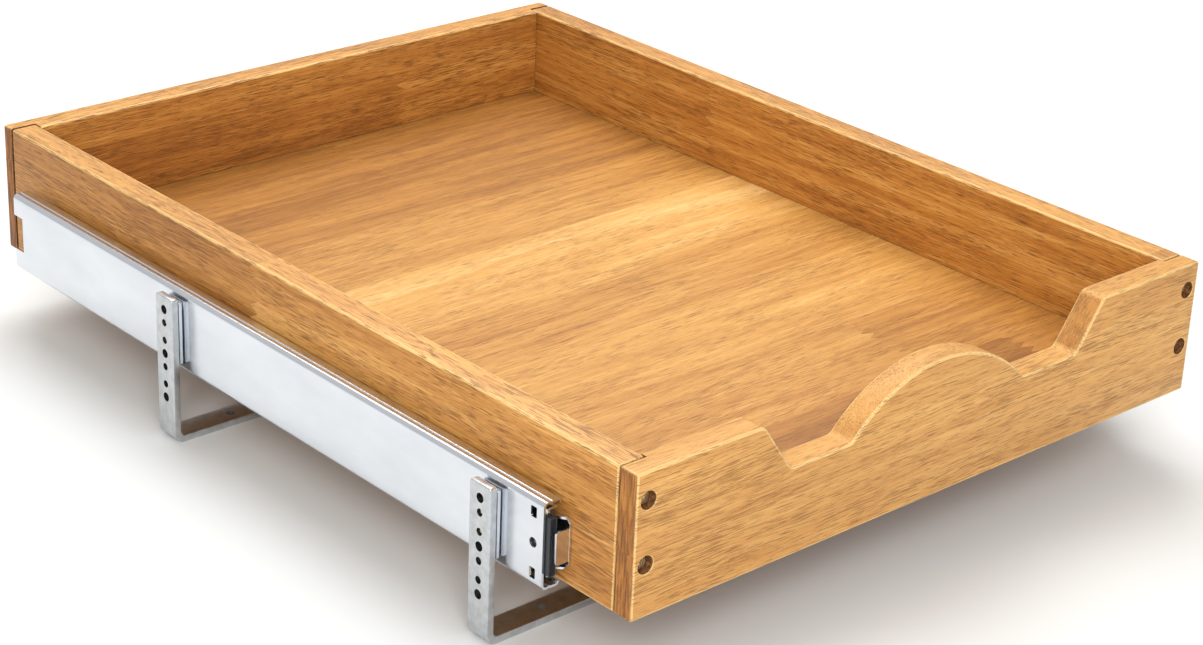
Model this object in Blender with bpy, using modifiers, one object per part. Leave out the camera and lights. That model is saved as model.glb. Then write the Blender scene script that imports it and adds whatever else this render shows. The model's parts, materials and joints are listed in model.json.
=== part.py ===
"""Pull-out wooden tray on two ball-bearing side slides, carried by four angle brackets.

Metres, +Z up. The tray's front faces -Y. The origin is under the middle of the tray, on the
surface that the feet of the brackets stand on. Left and right are as seen from the front.
On a slide, "out" is the distance from the tray's side face and "height" is measured from the
slide's centre line.
"""

import math

import bmesh
import bpy
from mathutils import Matrix, Vector

# Tray
TRAY_WIDTH = 0.397
TRAY_DEPTH = 0.533
TRAY_HEIGHT = 0.074
TRAY_LIFT = 0.041  # underside of the tray above the feet
BOARD = 0.015
FRONT_REBATE = 0.0033
REAR_REBATE = 0.006
PANEL = 0.009
PANEL_TOP = 0.020  # above the tray's underside
GROOVE_DEPTH = 0.005
EASED_EDGE = 0.0012
JOINT_GAP = 0.0003

# Hand scoop in the front board
SCOOP_WIDTH = 0.241
SCOOP_DEPTH = 0.027
SCOOP_SLOPE = 0.019  # run of the sloping ends
SCOOP_CORNER = 0.006
ARCH_CHORD = 0.123
ARCH_FILLET = 0.006

# Wood screws in the front and rear boards
WOOD_SCREW_LENGTH = 0.035
WOOD_SCREW_RADIUS = 0.0019
WOOD_HEAD_RADIUS = 0.0038
WOOD_HEAD_HEIGHT = 0.0027
WOOD_SCREW_HEIGHTS = (0.027, 0.0594)  # above the tray's underside
COUNTERBORE_RADIUS = 0.0046
FRONT_COUNTERBORE = 0.0040
REAR_COUNTERBORE = 0.0025

# Slides
SLIDE_HEIGHT = 0.045
SLIDE_THICKNESS = 0.0127
SLIDE_CENTRE = 0.022  # above the tray's underside
SLIDE_FRONT_SETBACK = 0.0463  # behind the tray's front face
SLIDE_REAR_SETBACK = 0.0295
OUTER_SHEET = 0.0012
MIDDLE_SHEET = 0.0010
INNER_SHEET = 0.0012
CAGE_SHEET = 0.0005
LIP_OUT = 0.0026  # open edge of the outer and middle members from the tray's side
BEND = 0.0010  # bend radius on the centre of the sheet
BALL = 0.0032
BALL_CLEARANCE = 0.0001
BALL_PITCH = 0.0065
BALLS_IN_GROUP = 3
CAGE_END = 0.004  # from the end of a cage to its first ball
CAGE_CLEARANCE = 0.004  # a cage from the end of a member when the slide is open
FIT_GAP = 0.0003

# Ends and openings of the members
WINDOW_SETBACK = 0.0067
WINDOW_LENGTH = 0.0040
WINDOW_HEIGHT = 0.0055
WINDOW_EDGE = 0.0041  # from the member's top or bottom to the window
WEB_HOLE_RADIUS = 0.0025
NOTCH_HEIGHT = 0.0204
NOTCH_DEPTH = 0.0085
TAB_HEIGHT = 0.015
TAB_TIP_OUT = 0.0046
NOSE = 0.0053  # inner member in front of the outer one
NOSE_CHAMFER = 0.0030
FLANGE_SETBACK = 0.0085  # start of the inner member's flanges behind its nose
NOSE_TAB_HEIGHT = 0.017
NOSE_TAB_TIP = 0.0092
INNER_TAIL = 0.008  # inner member short of the outer one at the rear

# Bumpers
FRONT_BUMPER_LENGTH = 0.0043
FRONT_BUMPER_TONGUE = 0.012
FRONT_BUMPER_HEIGHT = 0.030
SLEEVE_WALL = 0.0022
SLEEVE_WEB_GAP = 0.0019  # from the rear sleeve to the outer member's web

# Screws that fix the inner members to the tray
PAN_RADIUS = 0.0034
PAN_HEIGHT = 0.0019
PAN_SHANK = 0.0017
PAN_LENGTH = 0.012
PAN_SETBACK = 0.030  # first and last screw from the ends of the inner member

# Release levers
LEVER_SETBACK = 0.079  # pivot behind the nose of the inner member
LEVER_LENGTH = 0.070
LEVER_THICKNESS = 0.0022
LEVER_ARM = 0.0060
LEVER_PAD = 0.0085
RIVET_RADIUS = 0.0020
RIVET_CLEARANCE = 0.0001
RIVET_HEAD_RADIUS = 0.0032
RIVET_HEAD_HEIGHT = 0.0007

# Angle brackets
BRACKET_WIDTH = 0.015
BRACKET_PLATE = 0.004
BRACKET_BEND = 0.0045  # on the centre of the plate
BRACKET_TOP = 0.020  # above the slide's centre line
FRONT_BRACKET_SETBACK = 0.0359  # centre of the strap behind the slide's front end
REAR_BRACKET_SETBACK = 0.1623  # centre of the strap in front of the slide's rear end
FOOT_LENGTH = 0.078
FOOT_HOLES = (0.040, 0.068)  # from the outer face of the strap
FOOT_HOLE_RADIUS = 0.0025
STRAP_PITCH = 0.0252
STRAP_PERIODS = 2
PAIR_SPACING = 0.010
STRAP_HOLE_RADIUS = 0.0025
THREAD_HOLE_RADIUS = 0.0020

# Spacing lugs between the slides and the brackets
LUG_SPACE = 0.0033  # from the slide's web to the strap
LUG_SHEET = 0.0014
LUG_HEIGHT = 0.0345

# Screws that hold the brackets
BRACKET_SCREW_RADIUS = 0.0017
BRACKET_HEAD_RADIUS = 0.0034
BRACKET_HEAD_HEIGHT = 0.0016
BRACKET_SCREW_INSET = 0.0012  # its end inside the outer face of the strap

# Cross recess of every screw
RECESS_ARM = 0.0009
RECESS_SPAN = 0.0042
RECESS_DEPTH = 0.0008

SIDES = {"left": -1, "right": 1}
ROUND_STEPS = 12
OVERSHOOT = 0.002  # how far a cutter runs past a face

FRONT_Y = -TRAY_DEPTH / 2
REAR_Y = TRAY_DEPTH / 2
SIDE_X = TRAY_WIDTH / 2
TRAY_BOTTOM = TRAY_LIFT
TRAY_TOP = TRAY_LIFT + TRAY_HEIGHT
PANEL_Z = TRAY_LIFT + PANEL_TOP
SLIDE_Z = TRAY_LIFT + SLIDE_CENTRE

OUTER_FRONT = FRONT_Y + SLIDE_FRONT_SETBACK
OUTER_REAR = REAR_Y - SLIDE_REAR_SETBACK
TRAVEL = OUTER_REAR - OUTER_FRONT
INNER_FRONT = OUTER_FRONT - NOSE
INNER_REAR = OUTER_REAR - INNER_TAIL
NOSE_TAB_BACK = INNER_FRONT + 2 * INNER_SHEET
BUMPER_FRONT = NOSE_TAB_BACK + FIT_GAP
MIDDLE_FRONT = BUMPER_FRONT + FRONT_BUMPER_LENGTH + FIT_GAP
TAB_BACK = OUTER_REAR - NOTCH_DEPTH
TAB_FRONT = TAB_BACK - OUTER_SHEET
SLEEVE_FRONT = TAB_FRONT - FIT_GAP - SLEEVE_WALL
MIDDLE_REAR = SLEEVE_FRONT - FIT_GAP

OUTER_HALF = SLIDE_HEIGHT / 2
OUTER_RACE = OUTER_HALF - OUTER_SHEET
MIDDLE_HALF = OUTER_RACE - BALL - 2 * BALL_CLEARANCE
MIDDLE_RACE = MIDDLE_HALF - MIDDLE_SHEET
INNER_HALF = MIDDLE_RACE - BALL - 2 * BALL_CLEARANCE

WEB_INSIDE = SLIDE_THICKNESS - OUTER_SHEET
HEAD_TOP = WEB_INSIDE - FIT_GAP - BRACKET_HEAD_HEIGHT
OUTER_CAGE_OUT = HEAD_TOP - FIT_GAP
MIDDLE_OUT = OUTER_CAGE_OUT - CAGE_SHEET - FIT_GAP
INNER_CAGE_OUT = MIDDLE_OUT - MIDDLE_SHEET - FIT_GAP
INNER_FLANGE_OUT = INNER_CAGE_OUT - CAGE_SHEET - FIT_GAP
INNER_WEB_OUT = FIT_GAP + INNER_SHEET
BALL_OUT = INNER_FLANGE_OUT - BALL / 2 - BALL_CLEARANCE

STRAP_INSIDE = SLIDE_THICKNESS + LUG_SPACE
STRAP_OUTSIDE = STRAP_INSIDE + BRACKET_PLATE


# Building blocks


def collection(name):
    found = bpy.data.collections.new(name)
    bpy.context.scene.collection.children.link(found)
    return found


def to_linear(value):
    return value / 12.92 if value <= 0.04045 else ((value + 0.055) / 1.055) ** 2.4


def material(name, colour, roughness, metallic=0.0):
    found = bpy.data.materials.new(name)
    found.use_nodes = True
    shader = found.node_tree.nodes["Principled BSDF"]
    linear = [to_linear(int(colour[i : i + 2], 16) / 255) for i in (1, 3, 5)]
    shader.inputs["Base Color"].default_value = (*linear, 1)
    shader.inputs["Roughness"].default_value = roughness
    shader.inputs["Metallic"].default_value = metallic
    found.diffuse_color = (*linear, 1)
    return found


def add_object(name, mesh, look=None, location=(0, 0, 0)):
    """An object of the part, or a cutter when it has no material."""
    made = bpy.data.objects.new(name, mesh)
    made.location = location
    if look:
        PART.objects.link(made)
        if not mesh.materials:
            mesh.materials.append(look)
    else:
        CUTTERS.objects.link(made)
        made.hide_render = True
        made.display_type = "WIRE"
    return made


def box_mesh(name, low, high):
    """A box between two corners."""
    low, high = Vector(low), Vector(high)
    bm = bmesh.new()
    bmesh.ops.create_cube(bm, size=1)
    bmesh.ops.scale(bm, vec=high - low, verts=bm.verts)
    bmesh.ops.translate(bm, vec=(low + high) / 2, verts=bm.verts)
    mesh = bpy.data.meshes.new(name)
    bm.to_mesh(mesh)
    bm.free()
    return mesh


def cylinder_mesh(name, start, end, radius):
    """A cylinder between two points."""
    start, end = Vector(start), Vector(end)
    along = end - start
    turn = along.to_track_quat("Z", "Y").to_matrix().to_4x4()
    bm = bmesh.new()
    bmesh.ops.create_cone(
        bm,
        cap_ends=True,
        segments=ROUND_STEPS,
        radius1=radius,
        radius2=radius,
        depth=along.length,
        matrix=Matrix.Translation((start + end) / 2) @ turn,
    )
    mesh = bpy.data.meshes.new(name)
    bm.to_mesh(mesh)
    bm.free()
    return mesh


PLANES = {
    "XY": Matrix.Identity(4),
    "XZ": Matrix.Rotation(math.pi / 2, 4, "X"),
    "YZ": Matrix.Rotation(math.pi / 2, 4, "Z") @ Matrix.Rotation(math.pi / 2, 4, "X"),
}


def prism_mesh(name, outline, plane, low, high):
    """A flat outline in the named plane, run from low to high along the axis across it."""
    curve = bpy.data.curves.new(name, "CURVE")
    curve.dimensions = "2D"
    curve.fill_mode = "BOTH"
    curve.extrude = (high - low) / 2
    spline = curve.splines.new("POLY")
    spline.points.add(len(outline) - 1)
    for point, (x, y) in zip(spline.points, outline):
        point.co = (x, y, 0, 1)
    spline.use_cyclic_u = True
    flat = bpy.data.objects.new(name, curve)
    bpy.context.scene.collection.objects.link(flat)
    graph = bpy.context.evaluated_depsgraph_get()
    mesh = bpy.data.meshes.new_from_object(flat.evaluated_get(graph))
    mesh.transform(PLANES[plane])
    across = {"XY": (0, 0, 1), "XZ": (0, 1, 0), "YZ": (1, 0, 0)}[plane]
    mesh.transform(Matrix.Translation(Vector(across) * (low + high) / 2))
    bpy.data.objects.remove(flat)
    bpy.data.curves.remove(curve)
    bm = bmesh.new()
    bm.from_mesh(mesh)
    bmesh.ops.remove_doubles(bm, verts=bm.verts, dist=1e-6)
    bmesh.ops.recalc_face_normals(bm, faces=bm.faces)
    bm.to_mesh(mesh)
    bm.free()
    mesh.materials.clear()
    return mesh


def rounded(points, radii, closed=True, steps=4):
    """The points with each corner turned into an arc of its own radius; 0 keeps a corner."""
    found = []
    last = len(points) - 1
    for i, (point, radius) in enumerate(zip(points, radii)):
        if radius == 0 or (not closed and i in (0, last)):
            found.append(point)
            continue
        corner = Vector(point)
        before = (Vector(points[i - 1]) - corner).normalized()
        after = (Vector(points[(i + 1) % len(points)]) - corner).normalized()
        half = before.angle(after) / 2
        centre = corner + (before + after).normalized() * radius / math.sin(half)
        start = corner + before * radius / math.tan(half) - centre
        end = corner + after * radius / math.tan(half) - centre
        sweep = start.angle_signed(end)
        for step in range(steps + 1):
            arm = Matrix.Rotation(-sweep * step / steps, 2) @ start
            found.append(tuple(centre + arm))
    return found


def sheet_outline(path, sheet):
    """The closed outline of a sheet bent along a path on its centre."""
    path = [Vector(point) for point in path]
    runs = [(b - a).normalized() for a, b in zip(path, path[1:])]
    sides = [Vector((-run.y, run.x)) for run in runs]
    offsets = [sides[0]]
    for one, other in zip(sides, sides[1:]):
        mitre = (one + other).normalized()
        offsets.append(mitre / mitre.dot(one))
    offsets.append(sides[-1])
    outer = [tuple(point + offset * sheet / 2) for point, offset in zip(path, offsets)]
    inner = [tuple(point - offset * sheet / 2) for point, offset in zip(path, offsets)]
    return outer + inner[::-1]


def channel_outline(side, web_out, lip_out, half, sheet, bend=BEND):
    """Outline of a C-section on one side of the tray, its outside at web_out and +-half."""
    web = side * (SIDE_X + web_out - math.copysign(sheet / 2, web_out - lip_out))
    lip = side * (SIDE_X + lip_out)
    top = SLIDE_Z + half - sheet / 2
    bottom = SLIDE_Z - half + sheet / 2
    corners = [(lip, top), (web, top), (web, bottom), (lip, bottom)]
    return sheet_outline(rounded(corners, [bend] * 4, closed=False), sheet)


def boolean(target, cutter, operation="DIFFERENCE"):
    made = target.modifiers.new(cutter.name, "BOOLEAN")
    made.operation = operation
    made.solver = "EXACT"
    made.object = cutter


def cut_box(target, name, low, high):
    boolean(target, add_object(name, box_mesh(name, low, high)))


def join_box(target, name, low, high):
    boolean(target, add_object(name, box_mesh(name, low, high)), "UNION")


def drill(target, name, start, end, radius):
    boolean(target, add_object(name, cylinder_mesh(name, start, end, radius)))


def side_box(side, out_low, out_high, y_low, y_high, z_low, z_high):
    """Corners of a box given by its distances out from the tray's side face."""
    ends = sorted((side * (SIDE_X + out_low), side * (SIDE_X + out_high)))
    return (ends[0], y_low, z_low), (ends[1], y_high, z_high)


def ease_edges(target):
    made = target.modifiers.new("eased_edges", "BEVEL")
    made.width = EASED_EDGE
    made.segments = 1
    made.limit_method = "ANGLE"
    made.angle_limit = math.radians(50)


def smooth_rounds(mesh):
    mesh.shade_smooth()
    mesh.set_sharp_from_angle(angle=math.radians(35))


def finished_mesh(name, target):
    """The target with its modifiers applied, as a mesh; the target and its cutters go."""
    bpy.context.view_layer.update()
    graph = bpy.context.evaluated_depsgraph_get()
    mesh = bpy.data.meshes.new_from_object(target.evaluated_get(graph))
    mesh.name = name
    for made in [m.object for m in target.modifiers if m.type == "BOOLEAN"]:
        bpy.data.objects.remove(made)
    bpy.data.objects.remove(target)
    return mesh


# Screws


def turned(name, profile):
    """A solid of revolution about Z; the profile runs down its outer side, top to bottom."""
    mesh = bpy.data.meshes.new(name + "_profile")
    edges = [(i, i + 1) for i in range(len(profile) - 1)]
    mesh.from_pydata([(radius, 0, z) for radius, z in profile], edges, [])
    made = bpy.data.objects.new(name, mesh)
    PART.objects.link(made)
    screw = made.modifiers.new("turn", "SCREW")
    screw.steps = ROUND_STEPS
    screw.render_steps = ROUND_STEPS
    screw.use_merge_vertices = True
    screw.merge_threshold = 1e-5
    return made


def screw_mesh(name, profile, look):
    """A screw whose head's top is at the origin and whose tip points down -Z."""
    made = turned(name, profile)
    arm, span = RECESS_ARM / 2, RECESS_SPAN / 2
    cross = []
    for turn in range(4):
        quarter = Matrix.Rotation(-turn * math.pi / 2, 2)
        for corner in ((arm, arm), (span, arm), (span, -arm)):
            cross.append(tuple(quarter @ Vector(corner)))
    recess = prism_mesh(name + "_recess", cross, "XY", -RECESS_DEPTH, OVERSHOOT)
    boolean(made, add_object(name + "_recess", recess))
    done = finished_mesh(name, made)
    done.materials.append(look)
    smooth_rounds(done)
    return done


def wood_screw_profile():
    tip = WOOD_SCREW_RADIUS * 2.5
    return [
        (0, 0),
        (WOOD_HEAD_RADIUS, 0),
        (WOOD_HEAD_RADIUS, -0.0003),
        (WOOD_SCREW_RADIUS, -WOOD_HEAD_HEIGHT),
        (WOOD_SCREW_RADIUS, tip - WOOD_SCREW_LENGTH),
        (0, -WOOD_SCREW_LENGTH),
    ]


def headed_profile(head_radius, head_height, shank_radius, length, tip):
    """A low cylindrical head with a chamfer, and a shank that ends in a short cone."""
    chamfer = head_height * 0.3
    return [
        (0, 0),
        (head_radius - chamfer, 0),
        (head_radius, -chamfer),
        (head_radius, -head_height),
        (shank_radius, -head_height),
        (shank_radius, tip - head_height - length),
        (shank_radius * 0.4, -head_height - length),
        (0, -head_height - length),
    ]


def place_screw(name, mesh, head, points_along):
    """A screw with its head's top at a point, its tip pointing along a direction."""
    made = bpy.data.objects.new(name, mesh)
    made.location = head
    made.rotation_euler = (-Vector(points_along)).to_track_quat("Z", "Y").to_euler()
    PART.objects.link(made)
    return made


# Tray


def scoop_outline():
    """The front board seen from the front, with its hand scoop and the arch in the middle."""
    low = TRAY_TOP - SCOOP_DEPTH
    half_chord = ARCH_CHORD / 2
    radius = (half_chord**2 + SCOOP_DEPTH**2) / (2 * SCOOP_DEPTH)
    centre_z = TRAY_TOP - radius
    fillet_x = math.sqrt((radius + ARCH_FILLET) ** 2 - (low + ARCH_FILLET - centre_z) ** 2)
    touch = math.atan2(fillet_x, low + ARCH_FILLET - centre_z)
    arch = []
    for step in range(19):
        angle = touch * (1 - step / 9)
        arch.append((radius * math.sin(angle), centre_z + radius * math.cos(angle)))
    fillet = []
    for step in range(4):
        angle = touch * step / 4
        x = fillet_x - ARCH_FILLET * math.sin(angle)
        fillet.append((x, low + ARCH_FILLET - ARCH_FILLET * math.cos(angle)))
    edge = SCOOP_WIDTH / 2
    corners = [(SIDE_X, TRAY_BOTTOM), (SIDE_X, TRAY_TOP), (edge, TRAY_TOP)]
    corners += [(edge - SCOOP_SLOPE, low), (fillet_x, low)]
    right = rounded(corners, [0, 0, SCOOP_CORNER, SCOOP_CORNER, 0], closed=False)[:-1]
    left = [(-x, z) for x, z in reversed(right + fillet)]
    return right + fillet + arch + left


def screw_seat_mesh(counterbore):
    """The stepped hole of a wood screw, with the head's top at the origin and the tip down -Z."""
    shank = WOOD_SCREW_RADIUS + JOINT_GAP
    top = counterbore + OVERSHOOT
    profile = [
        (0, top),
        (COUNTERBORE_RADIUS, top),
        (COUNTERBORE_RADIUS, 0),
        (WOOD_HEAD_RADIUS + JOINT_GAP, 0),
        (WOOD_HEAD_RADIUS + JOINT_GAP, -2 * JOINT_GAP),
        (shank, -WOOD_HEAD_HEIGHT - JOINT_GAP),
        (shank, -BOARD - OVERSHOOT),
        (0, -BOARD - OVERSHOOT),
    ]
    return finished_mesh("screw_seat", turned("screw_seat", profile))


def counterbored_holes(board, y_face, into, depth):
    """The stepped holes for the wood screws at both ends of the front or rear board."""
    seat = screw_seat_mesh(depth)
    for name, side in SIDES.items():
        x = side * (SIDE_X - BOARD / 2)
        for row, height in enumerate(WOOD_SCREW_HEIGHTS):
            place = (x, y_face + into * depth, TRAY_BOTTOM + height)
            cutter = add_object(f"{board.name}_{name}_{row}_hole", seat, location=place)
            cutter.rotation_euler = Vector((0, -into, 0)).to_track_quat("Z", "Y").to_euler()
            boolean(board, cutter)


def cross_board(name, mesh, y_face, into, rebate, counterbore):
    """The front or the rear board: rebated for the side boards and grooved for the panel."""
    board = add_object(name, mesh, WOOD)
    ease_edges(board)
    inner = y_face + into * BOARD
    for label, side in SIDES.items():
        x_ends = sorted((side * (SIDE_X - BOARD - JOINT_GAP), side * (SIDE_X + OVERSHOOT)))
        y_ends = sorted((inner - into * rebate, inner + into * OVERSHOOT))
        low = (x_ends[0], y_ends[0], TRAY_BOTTOM - OVERSHOOT)
        high = (x_ends[1], y_ends[1], TRAY_TOP + OVERSHOOT)
        cut_box(board, f"{name}_{label}_rebate", low, high)
    groove = SIDE_X - BOARD + GROOVE_DEPTH
    y_ends = sorted((inner - into * GROOVE_DEPTH, inner + into * OVERSHOOT))
    low = (-groove, y_ends[0], PANEL_Z - PANEL - JOINT_GAP)
    high = (groove, y_ends[1], PANEL_Z + JOINT_GAP)
    cut_box(board, name + "_groove", low, high)
    counterbored_holes(board, y_face, into, counterbore)
    return board


def side_board(name, side):
    inner = SIDE_X - BOARD
    ends = sorted((side * SIDE_X, side * inner))
    front = FRONT_Y + BOARD - FRONT_REBATE + JOINT_GAP
    rear = REAR_Y - BOARD + REAR_REBATE - JOINT_GAP
    mesh = box_mesh(name, (ends[0], front, TRAY_BOTTOM), (ends[1], rear, TRAY_TOP))
    board = add_object(name, mesh, WOOD)
    ease_edges(board)
    groove = sorted((side * (inner + GROOVE_DEPTH), side * (inner - OVERSHOOT)))
    low = (groove[0], front - OVERSHOOT, PANEL_Z - PANEL - JOINT_GAP)
    high = (groove[1], rear + OVERSHOOT, PANEL_Z + JOINT_GAP)
    cut_box(board, name + "_groove", low, high)
    x = side * (SIDE_X - BOARD / 2)
    reach = WOOD_SCREW_LENGTH + JOINT_GAP
    for row, height in enumerate(WOOD_SCREW_HEIGHTS):
        z = TRAY_BOTTOM + height
        seats = {"front": (FRONT_Y + FRONT_COUNTERBORE, 1), "rear": (REAR_Y - REAR_COUNTERBORE, -1)}
        for end, (seat, into) in seats.items():
            start = (x, seat, z)
            stop = (x, seat + into * reach, z)
            wide = WOOD_SCREW_RADIUS + JOINT_GAP
            drill(board, f"{name}_{end}_pilot_{row}", start, stop, wide)
    for row, y in enumerate(pan_screw_places()):
        start = (side * (SIDE_X + OVERSHOOT), y, SLIDE_Z)
        depth = PAN_LENGTH - INNER_WEB_OUT + JOINT_GAP
        stop = (side * (SIDE_X - depth), y, SLIDE_Z)
        drill(board, f"{name}_slide_pilot_{row}", start, stop, PAN_SHANK + JOINT_GAP)
    return board


def bottom_panel():
    reach = GROOVE_DEPTH - JOINT_GAP
    x = SIDE_X - BOARD + reach
    front = FRONT_Y + BOARD - reach
    rear = REAR_Y - BOARD + reach
    mesh = box_mesh("bottom_panel", (-x, front, PANEL_Z - PANEL), (x, rear, PANEL_Z))
    return add_object("bottom_panel", mesh, WOOD)


def tray_screws(mesh):
    made = []
    for name, side in SIDES.items():
        x = side * (SIDE_X - BOARD / 2)
        for row, height in zip(("lower", "upper"), WOOD_SCREW_HEIGHTS):
            z = TRAY_BOTTOM + height
            front = (x, FRONT_Y + FRONT_COUNTERBORE, z)
            rear = (x, REAR_Y - REAR_COUNTERBORE, z)
            made.append(place_screw(f"front_{name}_{row}_screw", mesh, front, (0, 1, 0)))
            made.append(place_screw(f"rear_{name}_{row}_screw", mesh, rear, (0, -1, 0)))
    return made


# Slides


def bracket_places():
    return {
        "front": OUTER_FRONT + FRONT_BRACKET_SETBACK,
        "rear": OUTER_REAR - REAR_BRACKET_SETBACK,
    }


def pan_screw_places():
    first, last = INNER_FRONT + PAN_SETBACK, INNER_REAR - PAN_SETBACK
    return (first, (first + last) / 2, last)


def outer_member(name, side):
    """The fixed C-section: windows at the front, a bent-in stop tab in the notch at the rear."""
    outline = channel_outline(side, SLIDE_THICKNESS, LIP_OUT, OUTER_HALF, OUTER_SHEET)
    member = add_object(name, prism_mesh(name, outline, "XZ", OUTER_FRONT, OUTER_REAR), ZINC)
    out = (SLIDE_THICKNESS - OUTER_SHEET - OVERSHOOT / 4, SLIDE_THICKNESS + OVERSHOOT)
    for label, edge in (("upper", 1), ("lower", -1)):
        near = SLIDE_Z + edge * (OUTER_HALF - WINDOW_EDGE)
        z = sorted((near, near - edge * WINDOW_HEIGHT))
        y = OUTER_FRONT + WINDOW_SETBACK
        corners = side_box(side, *out, y - WINDOW_LENGTH / 2, y + WINDOW_LENGTH / 2, *z)
        cut_box(member, f"{name}_{label}_window", *corners)
    start = (side * (SIDE_X + out[0]), OUTER_FRONT + WINDOW_SETBACK, SLIDE_Z)
    end = (side * (SIDE_X + out[1]), OUTER_FRONT + WINDOW_SETBACK, SLIDE_Z)
    drill(member, name + "_web_hole", start, end, WEB_HOLE_RADIUS)
    half = NOTCH_HEIGHT / 2
    notch = (TAB_BACK, OUTER_REAR + OVERSHOOT, SLIDE_Z - half, SLIDE_Z + half)
    cut_box(member, name + "_notch", *side_box(side, *out, *notch))
    half = TAB_HEIGHT / 2
    tab = (TAB_FRONT, TAB_BACK, SLIDE_Z - half, SLIDE_Z + half)
    reach = (TAB_TIP_OUT, SLIDE_THICKNESS - OUTER_SHEET / 2)
    join_box(member, name + "_stop_tab", *side_box(side, *reach, *tab))
    for place, y in bracket_places().items():
        for label, z in screw_rows():
            start = (side * (SIDE_X + out[0]), y, z)
            end = (side * (SIDE_X + out[1]), y, z)
            drill(member, f"{name}_{place}_{label}_hole", start, end, THREAD_HOLE_RADIUS)
    return member


def middle_member(name, side):
    outline = channel_outline(side, MIDDLE_OUT, LIP_OUT, MIDDLE_HALF, MIDDLE_SHEET)
    return add_object(name, prism_mesh(name, outline, "XZ", MIDDLE_FRONT, MIDDLE_REAR), ZINC)


def inner_member(name, side):
    """The C-section screwed to the tray, its nose bevelled and bent out into a tab."""
    outline = channel_outline(side, FIT_GAP, INNER_FLANGE_OUT, INNER_HALF, INNER_SHEET)
    member = add_object(name, prism_mesh(name, outline, "XZ", INNER_FRONT, INNER_REAR), ZINC)
    far = INNER_FLANGE_OUT + OVERSHOOT
    for label, edge in (("upper", 1), ("lower", -1)):
        outside = SLIDE_Z + edge * (INNER_HALF + OVERSHOOT)
        z = sorted((outside, SLIDE_Z + edge * (INNER_HALF - NOSE_CHAMFER)))
        back = INNER_FRONT + FLANGE_SETBACK
        flange = (INNER_WEB_OUT, far, INNER_FRONT - OVERSHOOT, back, *z)
        cut_box(member, f"{name}_{label}_flange_end", *side_box(side, *flange))
        tip = SLIDE_Z + edge * INNER_HALF
        corner = [(INNER_FRONT, tip - edge * NOSE_CHAMFER), (INNER_FRONT + NOSE_CHAMFER, tip)]
        corner += [(INNER_FRONT + NOSE_CHAMFER, tip + edge * OVERSHOOT)]
        corner += [(INNER_FRONT - OVERSHOOT, tip + edge * OVERSHOOT)]
        corner += [(INNER_FRONT - OVERSHOOT, tip - edge * NOSE_CHAMFER)]
        x = sorted((side * (SIDE_X - OVERSHOOT), side * (SIDE_X + far)))
        label = f"{name}_{label}_nose_corner"
        boolean(member, add_object(label, prism_mesh(label, corner, "YZ", *x)))
    half = NOSE_TAB_HEIGHT / 2
    tab = (INNER_FRONT + INNER_SHEET / 4, NOSE_TAB_BACK - INNER_SHEET * 3 / 4)
    reach = (FIT_GAP + INNER_SHEET / 2, NOSE_TAB_TIP)
    corners = side_box(side, *reach, *tab, SLIDE_Z - half, SLIDE_Z + half)
    join_box(member, name + "_nose_tab", *corners)
    for row, y in enumerate(pan_screw_places()):
        start = (side * (SIDE_X - OVERSHOOT), y, SLIDE_Z)
        end = (side * (SIDE_X + INNER_WEB_OUT + OVERSHOOT), y, SLIDE_Z)
        drill(member, f"{name}_hole_{row}", start, end, PAN_SHANK + FIT_GAP)
    y = INNER_FRONT + LEVER_SETBACK
    start = (side * (SIDE_X - OVERSHOOT), y, SLIDE_Z)
    end = (side * (SIDE_X + INNER_WEB_OUT + OVERSHOOT), y, SLIDE_Z)
    drill(member, name + "_pivot_hole", start, end, RIVET_RADIUS + FIT_GAP)
    return member


def ball_rows(front, rear):
    """Places of the balls along a cage: a group at each end."""
    first = [front + CAGE_END + i * BALL_PITCH for i in range(BALLS_IN_GROUP)]
    last = [rear - CAGE_END - i * BALL_PITCH for i in range(BALLS_IN_GROUP)]
    return first + last


def ball_cage(name, side, web_out, row_height, front, rear):
    """A thin C-strip between two members with the balls that it carries."""
    half = row_height + CAGE_SHEET / 2
    outline = channel_outline(side, web_out, BALL_OUT - BALL / 2, half, CAGE_SHEET)
    cage = add_object(name, prism_mesh(name, outline, "XZ", front, rear), CAGE)
    bm = bmesh.new()
    for edge in (1, -1):
        for y in ball_rows(front, rear):
            place = (side * (SIDE_X + BALL_OUT), y, SLIDE_Z + edge * row_height)
            where = Matrix.Translation(place)
            bmesh.ops.create_icosphere(bm, subdivisions=1, radius=BALL / 2, matrix=where)
    mesh = bpy.data.meshes.new(name + "_balls")
    bm.to_mesh(mesh)
    bm.free()
    boolean(cage, add_object(name + "_balls", mesh), "UNION")
    return cage


def cage_ends():
    """Where each cage may lie so that it stays in both of its members when the slide is open.

    The middle member makes half of the travel, the outer cage a quarter and the inner cage
    three quarters.
    """
    room = CAGE_CLEARANCE
    outer = (OUTER_FRONT + TRAVEL / 4 + room, MIDDLE_REAR - TRAVEL / 4 - room)
    inner = (MIDDLE_FRONT + TRAVEL / 4 + FRONT_BUMPER_TONGUE, INNER_REAR - TRAVEL / 4 - room)
    return outer, inner


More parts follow.
